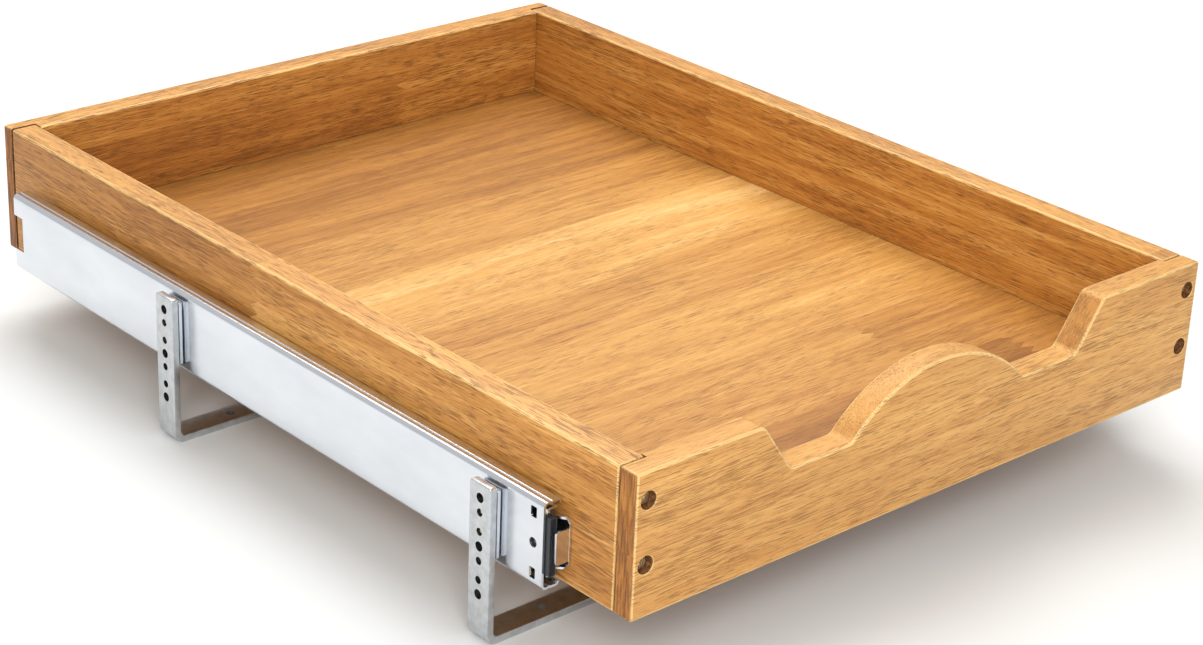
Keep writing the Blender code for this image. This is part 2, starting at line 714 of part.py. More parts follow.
def front_bumper(name, side):
    """A plastic stop before the middle member's end, with a tongue behind its web."""
    half = FRONT_BUMPER_HEIGHT / 2
    near, far = INNER_CAGE_OUT - CAGE_SHEET, WEB_INSIDE - 2 * FIT_GAP
    end = BUMPER_FRONT + FRONT_BUMPER_LENGTH
    corners = side_box(side, near, far, BUMPER_FRONT, end, SLIDE_Z - half, SLIDE_Z + half)
    bumper = add_object(name, box_mesh(name, *corners), PLASTIC)
    tongue = (MIDDLE_OUT + FIT_GAP, far, end - OVERSHOOT / 2, end + FRONT_BUMPER_TONGUE)
    join_box(bumper, name + "_tongue", *side_box(side, *tongue, SLIDE_Z - half / 2, SLIDE_Z + half / 2))
    return bumper


def rear_sleeve(name, side):
    """A rubber sleeve pushed over the stop tab from its tip."""
    half = TAB_HEIGHT / 2 + FIT_GAP + SLEEVE_WALL / 2
    near, far = TAB_TIP_OUT - FIT_GAP - SLEEVE_WALL / 2, WEB_INSIDE - SLEEVE_WEB_GAP
    back = TAB_BACK + FIT_GAP + SLEEVE_WALL
    corners = side_box(side, near, far, SLEEVE_FRONT, back, SLIDE_Z - half, SLIDE_Z + half)
    sleeve = add_object(name, box_mesh(name, *corners), RUBBER)
    half = TAB_HEIGHT / 2 + FIT_GAP
    slot = (TAB_FRONT - FIT_GAP, TAB_BACK + FIT_GAP, SLIDE_Z - half, SLIDE_Z + half)
    cut_box(sleeve, name + "_slot", *side_box(side, TAB_TIP_OUT - FIT_GAP, far + OVERSHOOT, *slot))
    return sleeve


def release_lever(name, side):
    """A flat plastic lever on a rivet; its origin is on the pivot's axis."""
    half = LEVER_LENGTH / 2
    arm, pad = LEVER_ARM / 2, LEVER_PAD / 2
    outline = [(-half, -pad), (-half * 0.6, -pad), (-half * 0.3, -arm), (half, -arm)]
    outline += [(half, arm), (-half * 0.3, arm), (-half * 0.6, pad), (-half, pad)]
    outline = rounded(outline, [0.003, 0.004, 0.004, 0.002, 0.002, 0.004, 0.004, 0.003], steps=3)
    low = INNER_WEB_OUT + FIT_GAP
    ends = sorted((side * low, side * (low + LEVER_THICKNESS)))
    mesh = prism_mesh(name, outline, "YZ", *ends)
    place = (side * SIDE_X, INNER_FRONT + LEVER_SETBACK, SLIDE_Z)
    lever = add_object(name, mesh, PLASTIC, place)
    start = (place[0], place[1], place[2])
    end = (place[0] + side * (low + LEVER_THICKNESS + OVERSHOOT), place[1], place[2])
    drill(lever, name + "_hole", start, end, RIVET_RADIUS + RIVET_CLEARANCE)
    return lever


def pivot_rivet(name, side):
    """The lever's rivet, from inside the member's web to its head over the lever."""
    top = INNER_WEB_OUT + FIT_GAP + LEVER_THICKNESS + FIT_GAP
    y = INNER_FRONT + LEVER_SETBACK
    start = (side * (SIDE_X + FIT_GAP), y, SLIDE_Z)
    end = (side * (SIDE_X + top + RIVET_HEAD_HEIGHT / 2), y, SLIDE_Z)
    rivet = add_object(name, cylinder_mesh(name, start, end, RIVET_RADIUS), ZINC)
    head_start = (side * (SIDE_X + top), y, SLIDE_Z)
    head_end = (side * (SIDE_X + top + RIVET_HEAD_HEIGHT), y, SLIDE_Z)
    head = cylinder_mesh(name + "_head", head_start, head_end, RIVET_HEAD_RADIUS)
    boolean(rivet, add_object(name + "_head", head), "UNION")
    return rivet


# Brackets


def screw_rows():
    """Heights of the two screws that hold a bracket."""
    half = PAIR_SPACING / 2
    return (("upper", SLIDE_Z + half), ("lower", SLIDE_Z - half))


def bracket(name, side, y):
    """A plate bent into an L: a strap with a ladder of holes and a foot that runs inward."""
    strap = side * (SIDE_X + STRAP_INSIDE + BRACKET_PLATE / 2)
    foot = side * (SIDE_X + STRAP_OUTSIDE - FOOT_LENGTH)
    middle = BRACKET_PLATE / 2
    corners = [(strap, SLIDE_Z + BRACKET_TOP), (strap, middle), (foot, middle)]
    path = rounded(corners, [0, BRACKET_BEND, 0], closed=False, steps=6)
    outline = sheet_outline(path, BRACKET_PLATE)
    half = BRACKET_WIDTH / 2
    made = add_object(name, prism_mesh(name, outline, "XZ", y - half, y + half), STEEL)
    start_x = side * (SIDE_X + STRAP_INSIDE - OVERSHOOT)
    end_x = side * (SIDE_X + STRAP_OUTSIDE + OVERSHOOT)
    holes = [(STRAP_HOLE_RADIUS, STRAP_PITCH / 2 - i * STRAP_PITCH) for i in range(STRAP_PERIODS + 1)]
    for period in range(STRAP_PERIODS):
        for edge in (1, -1):
            drop = period * STRAP_PITCH - edge * PAIR_SPACING / 2
            holes.append((THREAD_HOLE_RADIUS, -drop))
    for row, (radius, height) in enumerate(holes):
        z = SLIDE_Z + height
        drill(made, f"{name}_strap_hole_{row}", (start_x, y, z), (end_x, y, z), radius)
    for row, distance in enumerate(FOOT_HOLES):
        x = side * (SIDE_X + STRAP_OUTSIDE - distance)
        top = BRACKET_PLATE + OVERSHOOT
        drill(made, f"{name}_foot_hole_{row}", (x, y, -OVERSHOOT), (x, y, top), FOOT_HOLE_RADIUS)
    return made


def lug(name, side, y):
    """A short channel that spaces the strap from the slide, its flanges against the strap."""
    base = side * (SIDE_X + SLIDE_THICKNESS + FIT_GAP + LUG_SHEET / 2)
    tip = side * (SIDE_X + STRAP_INSIDE - FIT_GAP)
    half = (BRACKET_WIDTH - LUG_SHEET) / 2
    corners = [(tip, y - half), (base, y - half), (base, y + half), (tip, y + half)]
    outline = sheet_outline(rounded(corners, [BEND] * 4, closed=False, steps=3), LUG_SHEET)
    z = (SLIDE_Z - LUG_HEIGHT / 2, SLIDE_Z + LUG_HEIGHT / 2)
    made = add_object(name, prism_mesh(name, outline, "XY", *z), ZINC)
    for label, height in screw_rows():
        start = (side * (SIDE_X + SLIDE_THICKNESS - OVERSHOOT), y, height)
        end = (side * (SIDE_X + STRAP_INSIDE + OVERSHOOT), y, height)
        drill(made, f"{name}_{label}_hole", start, end, THREAD_HOLE_RADIUS)
    return made


def bracket_set(side_name, side, screw):
    """The two brackets of one slide with their lugs and screws."""
    made = []
    for place, y in bracket_places().items():
        label = f"{side_name}_{place}"
        made.append(bracket(label + "_bracket", side, y))
        made.append(lug(label + "_lug", side, y))
        for row, z in screw_rows():
            head = (side * (SIDE_X + HEAD_TOP), y, z)
            made.append(place_screw(f"{label}_{row}_bracket_screw", screw, head, (side, 0, 0)))
    return made


# Assembly


def carrier(name, location, children, parent=None):
    """An empty that a group of pieces moves with."""
    made = bpy.data.objects.new(name, None)
    made.empty_display_size = 0.03
    made.location = location
    PART.objects.link(made)
    if parent:
        attach(made, parent)
    for child in children:
        attach(child, made)
    return made


def attach(child, parent):
    bpy.context.view_layer.update()
    child.parent = parent
    child.matrix_parent_inverse = parent.matrix_world.inverted()


def main():
    length = STRAP_OUTSIDE - BRACKET_SCREW_INSET - HEAD_TOP - BRACKET_HEAD_HEIGHT
    wood_screw = screw_mesh("wood_screw", wood_screw_profile(), SCREW_STEEL)
    profile = headed_profile(PAN_RADIUS, PAN_HEIGHT, PAN_SHANK, PAN_LENGTH, 2 * PAN_SHANK)
    pan_screw = screw_mesh("pan_screw", profile, SCREW_STEEL)
    profile = headed_profile(
        BRACKET_HEAD_RADIUS, BRACKET_HEAD_HEIGHT, BRACKET_SCREW_RADIUS, length, 0.0006
    )
    bracket_screw = screw_mesh("bracket_screw", profile, SCREW_STEEL)

    outline = scoop_outline()
    front = prism_mesh("front_board", outline, "XZ", FRONT_Y, FRONT_Y + BOARD)
    rear = box_mesh("rear_board", (-SIDE_X, REAR_Y - BOARD, TRAY_BOTTOM), (SIDE_X, REAR_Y, TRAY_TOP))
    drawer = [
        cross_board("front_board", front, FRONT_Y, 1, FRONT_REBATE, FRONT_COUNTERBORE),
        cross_board("rear_board", rear, REAR_Y, -1, REAR_REBATE, REAR_COUNTERBORE),
        bottom_panel(),
        *tray_screws(wood_screw),
    ]
    fixed = []
    outer_cage, inner_cage = cage_ends()
    outer_row = (OUTER_RACE + MIDDLE_HALF) / 2
    inner_row = (MIDDLE_RACE + INNER_HALF) / 2
    for name, side in SIDES.items():
        place = (side * SIDE_X, 0, SLIDE_Z)
        fixed.append(outer_member(name + "_outer_member", side))
        fixed.append(rear_sleeve(name + "_rear_bumper", side))
        fixed += bracket_set(name, side, bracket_screw)
        middle = [middle_member(name + "_middle_member", side)]
        middle.append(front_bumper(name + "_front_bumper", side))
        carrier(name + "_middle_travel", place, middle)
        cage = ball_cage(name + "_outer_ball_cage", side, OUTER_CAGE_OUT, outer_row, *outer_cage)
        carrier(name + "_outer_cage_travel", place, [cage])
        cage = ball_cage(name + "_inner_ball_cage", side, INNER_CAGE_OUT, inner_row, *inner_cage)
        carrier(name + "_inner_cage_travel", place, [cage])
        drawer.append(side_board(name + "_side_board", side))
        drawer.append(inner_member(name + "_drawer_member", side))
        drawer.append(release_lever(name + "_release_lever", side))
        drawer.append(pivot_rivet(name + "_lever_rivet", side))
        top = INNER_WEB_OUT + FIT_GAP + PAN_HEIGHT
        for row, y in zip(("front", "middle", "rear"), pan_screw_places()):
            head = (side * (SIDE_X + top), y, SLIDE_Z)
            screw = place_screw(f"{name}_{row}_member_screw", pan_screw, head, (-side, 0, 0))
            drawer.append(screw)
    carrier("fixed_frame", (0, 0, SLIDE_Z), fixed)
    carrier("drawer_travel", (0, 0, SLIDE_Z), drawer)


for old in list(bpy.data.objects):
    bpy.data.objects.remove(old)
PART = collection("pull_out_tray")
CUTTERS = collection("cutters")
CUTTERS.hide_render = True
WOOD = material("oiled_hardwood", "#c98a4b", 0.45)
ZINC = material("zinc_plated_steel", "#d9dcdf", 0.28, 1)
STEEL = material("satin_plated_steel", "#b9bcbd", 0.38, 1)
SCREW_STEEL = material("screw_steel", "#a59c86", 0.35, 1)
CAGE = material("pressed_cage_steel", "#b4b6b8", 0.32, 1)
PLASTIC = material("black_plastic", "#26272a", 0.5)
RUBBER = material("black_rubber", "#1c1c1d", 0.8)
main()
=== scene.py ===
"""Looks of a pull-out hardwood tray on zinc-plated ball-bearing slides and plated angle brackets.

Metres, +Z up, the tray's front faces -Y. "Out" is the distance from the tray's side face, and
"height" on a slide is measured from its centre line.
"""

import functools
import json
import math

import bpy
from mathutils import Matrix, Vector


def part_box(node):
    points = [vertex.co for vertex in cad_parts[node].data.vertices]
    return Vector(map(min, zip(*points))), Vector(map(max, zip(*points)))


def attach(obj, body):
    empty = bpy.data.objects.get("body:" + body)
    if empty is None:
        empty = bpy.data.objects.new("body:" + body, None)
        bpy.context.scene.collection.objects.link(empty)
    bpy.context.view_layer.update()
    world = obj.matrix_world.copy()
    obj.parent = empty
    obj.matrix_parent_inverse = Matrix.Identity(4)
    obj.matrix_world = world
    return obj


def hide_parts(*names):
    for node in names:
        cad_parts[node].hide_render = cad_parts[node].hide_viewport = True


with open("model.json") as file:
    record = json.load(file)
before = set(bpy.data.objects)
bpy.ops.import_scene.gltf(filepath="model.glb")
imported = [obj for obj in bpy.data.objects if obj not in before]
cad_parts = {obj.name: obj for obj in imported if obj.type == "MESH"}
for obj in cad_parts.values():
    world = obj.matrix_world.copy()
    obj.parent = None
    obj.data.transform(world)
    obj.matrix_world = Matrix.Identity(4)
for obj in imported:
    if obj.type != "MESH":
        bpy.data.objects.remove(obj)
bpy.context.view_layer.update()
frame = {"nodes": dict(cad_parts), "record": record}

BODY_OF = {n: b for b, nodes in frame["record"]["behaviour"]["bodies"].items() for n in nodes}
SLOT_OF = {part["node"]: part["material_slot"] for part in frame["record"]["subparts"]}
SIDES = {"left": -1, "right": 1}
MM = 0.001

FRONT_LOW, FRONT_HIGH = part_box("front_board")
REAR_LOW, REAR_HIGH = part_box("rear_board")
PANEL_LOW, PANEL_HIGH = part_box("bottom_panel")
OUTER_LOW, OUTER_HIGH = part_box("right_outer_member")
SIDE_X = FRONT_HIGH.x
BOARD = FRONT_HIGH.y - FRONT_LOW.y
SLIDE_Z = (OUTER_LOW.z + OUTER_HIGH.z) / 2

# How far a cutter reaches past the face that it cuts through
OVER = 4 * MM

# Woodwork: rebates and grooves by their depth, counterbores, heads and shanks by their radius
EASED = 1.2 * MM
JOINT = 0.3 * MM
FRONT_REBATE = 3.3 * MM
REAR_REBATE = 6.0 * MM
OPEN_JOINT = 0.8 * MM  # the shadow gap at the ends of the side boards
GROOVE = 5.0 * MM
SCOOP_WIDTH = 241 * MM
SCOOP_DEPTH = 27 * MM
SCOOP_SLOPE = 19 * MM
SCOOP_CORNER = 6 * MM
ARCH_FILLET = 6 * MM
ARCH_CHORD = 123 * MM
COUNTERBORE = 4.6 * MM
WOOD_HEAD = 3.8 * MM
WOOD_SHANK = 1.9 * MM
WOOD_HEAD_HEIGHT = 2.7 * MM

# Sheet thicknesses
OUTER_SHEET = 1.2 * MM
MIDDLE_SHEET = 1.0 * MM
INNER_SHEET = 1.2 * MM
CAGE_SHEET = 0.5 * MM
LUG_SHEET = 1.4 * MM
BRACKET_PLATE = 4 * MM

# Screws, holes and balls of the slides and brackets, by their radius
STEEL_HEAD = 3.4 * MM
STEEL_SHANK = 1.7 * MM
SCREW_HOLE = 2.0 * MM
LADDER_HOLE = 2.5 * MM
BALL = 1.6 * MM

# Places on the slides and brackets
BALL_SPACING = 6.5 * MM
STOP_TAB_INSET = 8.5 * MM  # from the outer member's rear end to its stop tab
HOLE_PITCH = 25.2 * MM  # from one group of holes to the next down a bracket's strap
LUG_HOLE = 5 * MM  # a lug's screws stand this far above and below its middle


# Modelling helpers


def only(piece):
    bpy.ops.object.select_all(action="DESELECT")
    piece.select_set(True)
    bpy.context.view_layer.objects.active = piece


def place_in_mesh(piece):
    """Puts an object's location, turn and scale into its mesh."""
    only(piece)
    bpy.ops.object.transform_apply(location=True, rotation=True, scale=True)
    return piece


def named(name):
    piece = bpy.context.active_object
    piece.name = name
    return place_in_mesh(piece)


def block(name, low, high):
    low, high = Vector(low), Vector(high)
    bpy.ops.object.select_all(action="DESELECT")
    bpy.ops.mesh.primitive_cube_add(size=1, location=(low + high) / 2, scale=high - low)
    return named(name)


def rod(name, start, end, radius, vertices=48, end_radius=None):
    """A cylinder between two points, or a cone when the end has a radius of its own."""
    start, end = Vector(start), Vector(end)
    along = end - start
    bpy.ops.object.select_all(action="DESELECT")
    bpy.ops.mesh.primitive_cone_add(
        vertices=vertices,
        radius1=radius,
        radius2=radius if end_radius is None else end_radius,
        depth=along.length,
        location=(start + end) / 2,
        rotation=along.to_track_quat("Z", "Y").to_euler(),
    )
    return named(name)


def pick(piece, kind, rule):
    """Selects the vertices, edges or faces whose centre and direction or normal suit the rule."""
    only(piece)
    mesh = piece.data
    for group in (mesh.vertices, mesh.edges, mesh.polygons):
        group.foreach_set("select", [False] * len(group))
    modes = {"vertices": 0, "edges": 1, "polygons": 2}
    bpy.context.tool_settings.mesh_select_mode = [i == modes[kind] for i in range(3)]
    for item in getattr(mesh, kind):
        if kind == "vertices":
            chosen = rule(item.co, item.normal)
        elif kind == "edges":
            ends = [mesh.vertices[i].co for i in item.vertices]
            chosen = rule((ends[0] + ends[1]) / 2, (ends[1] - ends[0]).normalized())
        else:
            chosen = rule(item.center, item.normal)
        item.select = bool(chosen)


def editing(piece, operator, **settings):
    """Runs one edit-mode operator on what is selected."""
    only(piece)
    bpy.ops.object.mode_set(mode="EDIT")
    operator(**settings)
    bpy.ops.object.mode_set(mode="OBJECT")


def bevel_edges(piece, rule, width, segments):
    pick(piece, "edges", rule)
    editing(piece, bpy.ops.mesh.bevel, offset=width, segments=segments, affect="EDGES")


def apply(piece, kind, **settings):
    only(piece)
    made = piece.modifiers.new(kind.lower(), kind)
    for name, value in settings.items():
        setattr(made, name, value)
    bpy.ops.object.modifier_apply(modifier=made.name)


def combine(piece, other, operation="DIFFERENCE"):
    """Cuts the other shape from the piece, or joins it to it, and removes it."""
    apply(piece, "BOOLEAN", operation=operation, object=other, solver="EXACT")
    bpy.data.objects.remove(other)


def open_slots(piece, count):
    """Empty material slots, which a bevel needs before it gives its faces a slot's number."""
    while len(piece.data.materials) < count:
        piece.data.materials.append(None)


def ease(piece, width, segments=2, angle=50, slot=-1):
    """Rounds the sharp edges over; the new faces may take a material slot of their own."""
    open_slots(piece, slot + 1)
    apply(
        piece,
        "BEVEL",
        width=width,
        segments=segments,
        material=slot,
        limit_method="ANGLE",
        angle_limit=math.radians(angle),
        use_clamp_overlap=True,
    )


def smooth(piece, angle=32):
    only(piece)
    bpy.ops.object.shade_smooth_by_angle(angle=math.radians(angle))


def dress(piece, node, *looks):
    """Gives a piece its materials, one to a slot, and lets it stand for a CAD node."""
    keep = [face.material_index for face in piece.data.polygons]
    piece.data.materials.clear()
    for look in looks:
        piece.data.materials.append(look)
    piece.data.polygons.foreach_set("material_index", [min(i, len(looks) - 1) for i in keep])
    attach(piece, BODY_OF[node])
    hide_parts(node)
    return piece


def out(distance, y, height):
    """A point on the right-hand side by its distance out, its Y and its slide height."""
    return Vector((SIDE_X + distance, y, SLIDE_Z + height))


def span(out_low, out_high, y_low, y_high, low, high):
    """The two corners of a box given in the same way."""
    return out(out_low, y_low, low), out(out_high, y_high, high)


def rounded(path, radii, steps=5):
    """An open path with its inner corners turned into arcs; a radius of 0 leaves one sharp."""
    found = [Vector(path[0])]
    for i in range(1, len(path) - 1):
        corner, radius = Vector(path[i]), radii[i - 1]
        if not radius:
            found.append(corner)
            continue
        before = (Vector(path[i - 1]) - corner).normalized()
        after = (Vector(path[i + 1]) - corner).normalized()
        half = before.angle(after) / 2
        centre = corner + (before + after).normalized() * radius / math.sin(half)
        start = corner + before * radius / math.tan(half) - centre
        finish = corner + after * radius / math.tan(half) - centre
        sweep = start.angle_signed(finish)
        for step in range(steps + 1):
            found.append(centre + Matrix.Rotation(-sweep * step / steps, 2) @ start)
    found.append(Vector(path[-1]))
    return found


def drawn_line(name, points):
    """A line of edges, drawn out point by point from a single vertex."""
    bpy.ops.object.select_all(action="DESELECT")
    bpy.ops.mesh.primitive_plane_add(size=MM)
    piece = named(name)
    pick(piece, "vertices", lambda centre, way: centre.x > 0 or centre.y > 0)
    editing(piece, bpy.ops.mesh.delete, type="VERT")
    points = [Vector(point) for point in points]
    piece.data.vertices[0].co = points[0]
    pick(piece, "vertices", lambda centre, way: True)
    bpy.ops.object.mode_set(mode="EDIT")
    for before, after in zip(points, points[1:]):
        bpy.ops.mesh.extrude_vertices_move(TRANSFORM_OT_translate={"value": after - before})
    bpy.ops.object.mode_set(mode="OBJECT")
    return piece


def drawn_out(piece, move):
    """Extrudes all of a line or a face."""
    only(piece)
    bpy.ops.object.mode_set(mode="EDIT")
    bpy.ops.mesh.select_all(action="SELECT")
    bpy.ops.mesh.extrude_region_move(TRANSFORM_OT_translate={"value": Vector(move)})
    bpy.ops.object.mode_set(mode="OBJECT")


def folded_sheet(name, path, low, high, sheet):
    """Sheet metal folded along a path in XZ, running from low to high along Y."""
    piece = drawn_line(name, [(x, low, z) for x, z in path])
    drawn_out(piece, (0, high - low, 0))
    apply(piece, "SOLIDIFY", thickness=sheet, offset=0, use_even_offset=True)
    outward(piece)
    return piece


def outward(piece):
    only(piece)
    bpy.ops.object.mode_set(mode="EDIT")
    bpy.ops.mesh.select_all(action="SELECT")
    bpy.ops.mesh.normals_make_consistent(inside=False)
    bpy.ops.object.mode_set(mode="OBJECT")


def turned(name, profile, steps=32):
    """A turned piece on the Z axis; the profile of radius and height runs from top to bottom."""
    piece = drawn_line(name, [(radius, 0, z) for radius, z in profile])
    apply(
        piece,
        "SCREW",
        steps=steps,
        render_steps=steps,
        use_merge_vertices=True,
        merge_threshold=0.01 * MM,
    )
    outward(piece)
    return piece


def copied(piece, name, place, along=(0, 0, -1), spin=0):
    """A copy with its own mesh, its top at a place and its -Z axis turned along a line."""
    other = piece.copy()
    other.data = piece.data.copy()
    other.name = name
    bpy.context.scene.collection.objects.link(other)
    turn = Vector((0, 0, -1)).rotation_difference(Vector(along)).to_matrix().to_4x4()
    spin = Matrix.Rotation(math.radians(spin), 4, "Z")
    other.matrix_world = Matrix.Translation(place) @ turn @ spin
    return place_in_mesh(other)


def dress_pair(piece, name, looks, left_looks=None):
    """Dresses a right-hand piece, and makes the left-hand one as its mirror image."""
    smooth(piece)
    left_name = name.replace("right", "left")
    other = copied(piece, left_name + "_detail", (0, 0, 0))
    other.scale.x = -1
    place_in_mesh(other)
    outward(other)
    dress(piece, name, *looks)
    dress(other, left_name, *(left_looks or looks))


# Material helpers


def to_linear(value):
    return value / 12.92 if value <= 0.04045 else ((value + 0.055) / 1.055) ** 2.4


def colour(code):
    """An sRGB hex colour as linear RGBA."""
    return (*[to_linear(int(code[i : i + 2], 16) / 255) for i in (1, 3, 5)], 1)


def blended(code, other, share):
    """Two hex colours mixed as paints on a swatch."""
    pairs = [(int(code[i : i + 2], 16), int(other[i : i + 2], 16)) for i in (1, 3, 5)]
    return "#" + "".join(f"{round(a + (b - a) * share):02x}" for a, b in pairs)


def connect(made, inputs):
    """Sets a node's inputs: each is a value, a socket, or a node whose first output is used."""
    for socket, value in inputs.items():
        if isinstance(value, bpy.types.Node):
            value = next(output for output in value.outputs if output.enabled)
        if isinstance(value, bpy.types.NodeSocket):
            made.id_data.links.new(value, made.inputs[socket])
        else:
            made.inputs[socket].default_value = value


def node(tree, kind, inputs, stops=(), **settings):
    """Adds a node with its settings and links; stops are a ramp's places and hex colours."""
    made = tree.nodes.new("ShaderNode" + kind)
    for name, value in settings.items():
        setattr(made, name, value)
    for i, (place, code) in enumerate(stops):
        elements = made.color_ramp.elements
        element = elements[i] if i < 2 else elements.new(place)
        element.position = place
        element.color = colour(code)
    connect(made, inputs)
    return made


def new_material(name, **sockets):
    """A new material, a short way to add its nodes, its shader and its object coordinates."""
    made = bpy.data.materials.new(name)
    made.use_nodes = True
    tree = made.node_tree
    shader = tree.nodes["Principled BSDF"]
    connect(shader, {socket.replace("_", " "): value for socket, value in sockets.items()})
    add = functools.partial(node, tree)
    return made, add, shader, add("TexCoord", {}).outputs


# Materials


def oiled_hardwood(name, tones, grain, across, through, stave, length, seed, figure, planks=None):
    """Acacia-like hardwood, edge-glued from finger-jointed staves, planed, sanded and oiled.

    The eye sees soft light and dark bands, short dark pores crowded along a nearly straight
    grain, faint joints between the staves, and a darker, streaky end grain. The four tones run
    from the darkest wood to the palest. The grain, across and through are axis numbers, and
    stave and length are a stave's width and the length of the blocks it is jointed from. The
    figure holds the strength of each part of the pattern, and planks says how pale each stave
    is, from 0 to 1, from the front edge of the panel to the rear one.
    """
    made, add, shader, place = new_material(name, Specular_IOR_Level=0.3)
    axes = add("SeparateXYZ", {0: place["Object"]}).outputs
    along, side, depth = axes[grain], axes[across], axes[through]

    # Rows of staves, numbered from well above 0, and the blocks in a row with finger joints
    # between them, 7 mm apart and 7 mm long
    first_row = 50.0
    offset = -PANEL_LOW.y / stave if planks else seed * 0.37
    rows = {0: side, 1: 1 / stave, 2: first_row + offset}
    rows = add("Math", rows, operation="MULTIPLY_ADD")
    row = add("Math", {0: rows}, operation="FLOOR")
    row_random = add("TexWhiteNoise", {"W": row}, noise_dimensions="1D")
    finger = add("Math", {0: side, 1: 3.5 * MM}, operation="PINGPONG")
    run = add("Math", {0: finger, 1: 2.0, 2: along}, operation="MULTIPLY_ADD")
    run = add("Math", {0: run, 1: 1 / length, 2: seed * 0.61 + 20}, operation="MULTIPLY_ADD")
    run = add("Math", {0: row_random, 1: 3.0, 2: run}, operation="MULTIPLY_ADD")
    piece_number = add("Math", {0: run}, operation="FLOOR")
    cell = add("CombineXYZ", {0: row, 1: piece_number, 2: seed})
    random = add("TexWhiteNoise", {"Vector": cell}, noise_dimensions="3D")
    shift = add("VectorMath", {0: random.outputs["Color"], "Scale": 90.0}, operation="SCALE")

    # The grain wanders by a few millimetres over 200 mm
    straight = add("CombineXYZ", {0: along, 1: side, 2: depth})
    slow = add("Mapping", {"Vector": straight, "Location": shift, "Scale": (5, 12, 12)})
    wander = add("TexNoise", {"Vector": slow, "Scale": 1.0, "Detail": 2.0})
    wander = add("Math", {0: wander, 1: 9 * MM, 2: side}, operation="MULTIPLY_ADD")
    wavy = add("CombineXYZ", {0: along, 1: wander, 2: depth})

    # How the wood varies: cells per metre along the grain, across it and through it
    patterns = {
        "broad": (straight, (2.5, 14, 14), 1),  # bands 70 mm wide, through all the staves
        "bands": (wavy, (3.5, 38, 38), 2),
        "streaks": (wavy, (9, 190, 190), 3),
        "fibre": (wavy, (38, 1150, 1150), 3),
        "crowds": (wavy, (11, 60, 60), 3),
        "pores": (wavy, (85, 2100, 2100), 2),  # 0.3 mm wide, drawn wider so that they show
        "mottle": (straight, (300, 60, 900), 3),  # of the end grain
    }
    shown = {}
    for pattern, (point, cells, detail) in patterns.items():
        start = (seed, 4, 7) if pattern == "broad" else shift
        spread = add("Mapping", {"Vector": point, "Location": start, "Scale": cells})
        noise = {"Vector": spread, "Scale": 1.0, "Detail": detail, "Roughness": 0.6}
        shown[pattern] = add("TexNoise", noise)
    smoothly = {"interpolation_type": "SMOOTHSTEP"}
    crowds = add("MapRange", {0: shown["crowds"], 1: 0.40, 2: 0.62}, **smoothly)
    pores = add("Math", {0: crowds, 1: 0.08, 2: shown["pores"]}, operation="MULTIPLY_ADD")
    reach = {0: pores, 1: 0.64 - figure["crowding"], 2: 0.73 - figure["crowding"]}
    pores = add("MapRange", reach, **smoothly)

    tone = figure["paleness"]
    if planks:
        stops = []
        for i, pale in enumerate(planks):
            grey = "#" + 3 * f"{round(255 * pale):02x}"
            stops += [((i + 0.15) / len(planks), grey), ((i + 0.85) / len(planks), grey)]
        share = {0: rows, 1: first_row, 2: first_row + len(planks)}
        tone = add("ValToRGB", {0: add("MapRange", share)}, stops)
    varied = {part: shown[part] for part in ("broad", "bands", "streaks", "fibre")}
    for part, pattern in {**varied, "blocks": random}.items():
        moved = {0: pattern, 1: figure[part], 2: -figure[part] / 2}
        moved = add("Math", moved, operation="MULTIPLY_ADD")
        tone = add("Math", {0: tone, 1: moved}, operation="ADD")
    stops = list(zip((0.0, 0.33, 0.66, 1.0), tones))
    wood = add("ValToRGB", {0: tone}, stops)

    # The thin faces across the staves, such as the tops, lean to a colour of their own: painted
    # light and shade for how the lamps fall on them
    paint = {"data_type": "RGBA"}
    normal = add("SeparateXYZ", {0: place["Normal"]}).outputs
    facing = add("Math", {0: normal[across]}, operation="ABSOLUTE")
    narrow_face_painted_light = add("MapRange", {0: facing, 1: 0.6, 2: 0.95, 3: 0.0, 4: 0.38}, **smoothly)
    wood = add("Mix", {0: narrow_face_painted_light, 6: wood, 7: colour(figure["edge"])}, **paint)

    # Thin glue lines, darker pores, and the end grain
    line = add("Math", {0: rows, 1: 0.5}, operation="PINGPONG")
    line = {0: line, 1: 0.0, 2: 0.5 * MM / stave, 3: 0.30, 4: 0.0}
    wood = add("Mix", {0: add("MapRange", line), 6: wood, 7: colour("#6f431f")}, **paint)
    strength = add("Math", {0: pores, 1: figure["pores"]}, operation="MULTIPLY")
    wood = add("Mix", {0: strength, 6: wood, 7: colour("#70421c")}, **paint)
    facing = add("Math", {0: normal[grain]}, operation="ABSOLUTE")
    ends = add("MapRange", {0: facing, 1: 0.55, 2: 0.97, 3: 0.0, 4: 0.8}, **smoothly)
    stops = [(0.38, "#4e2506"), (0.5, "#864a12"), (0.62, "#ae6e28")]
    mottle = add("ValToRGB", {0: shown["mottle"]}, stops)
    wood = add("Mix", {0: ends, 6: wood, 7: mottle}, **paint)

    rough = add("Math", {0: shown["fibre"], 1: 0.18, 2: 0.36}, operation="MULTIPLY_ADD")
    height = add("Math", {0: shown["fibre"], 1: 0.5}, operation="MULTIPLY")
    height = add("Math", {0: height, 1: pores}, operation="SUBTRACT")
    bump = add("Bump", {"Strength": 0.4, "Distance": 0.12 * MM, "Height": height})
    connect(shader, {"Base Color": wood, "Roughness": rough, "Normal": bump})
    return made


def bored_end_grain_and_painted_shade():
    """Hardwood in the bored holes, cut across the fibres and dark with oil, painted darker still
    for the shade in them; in the open joints it is painted shadow.
    """
    made, add, shader, place = new_material("oiled_bored_end_grain_and_painted_shade", Roughness=0.6)
    mottle = add("TexNoise", {"Vector": place["Object"], "Scale": 700.0, "Detail": 3.0})
    dark = add("ValToRGB", {0: mottle}, [(0.35, "#4a2a12"), (0.65, "#8a5a30")])
    connect(shader, {"Base Color": dark})
    return made


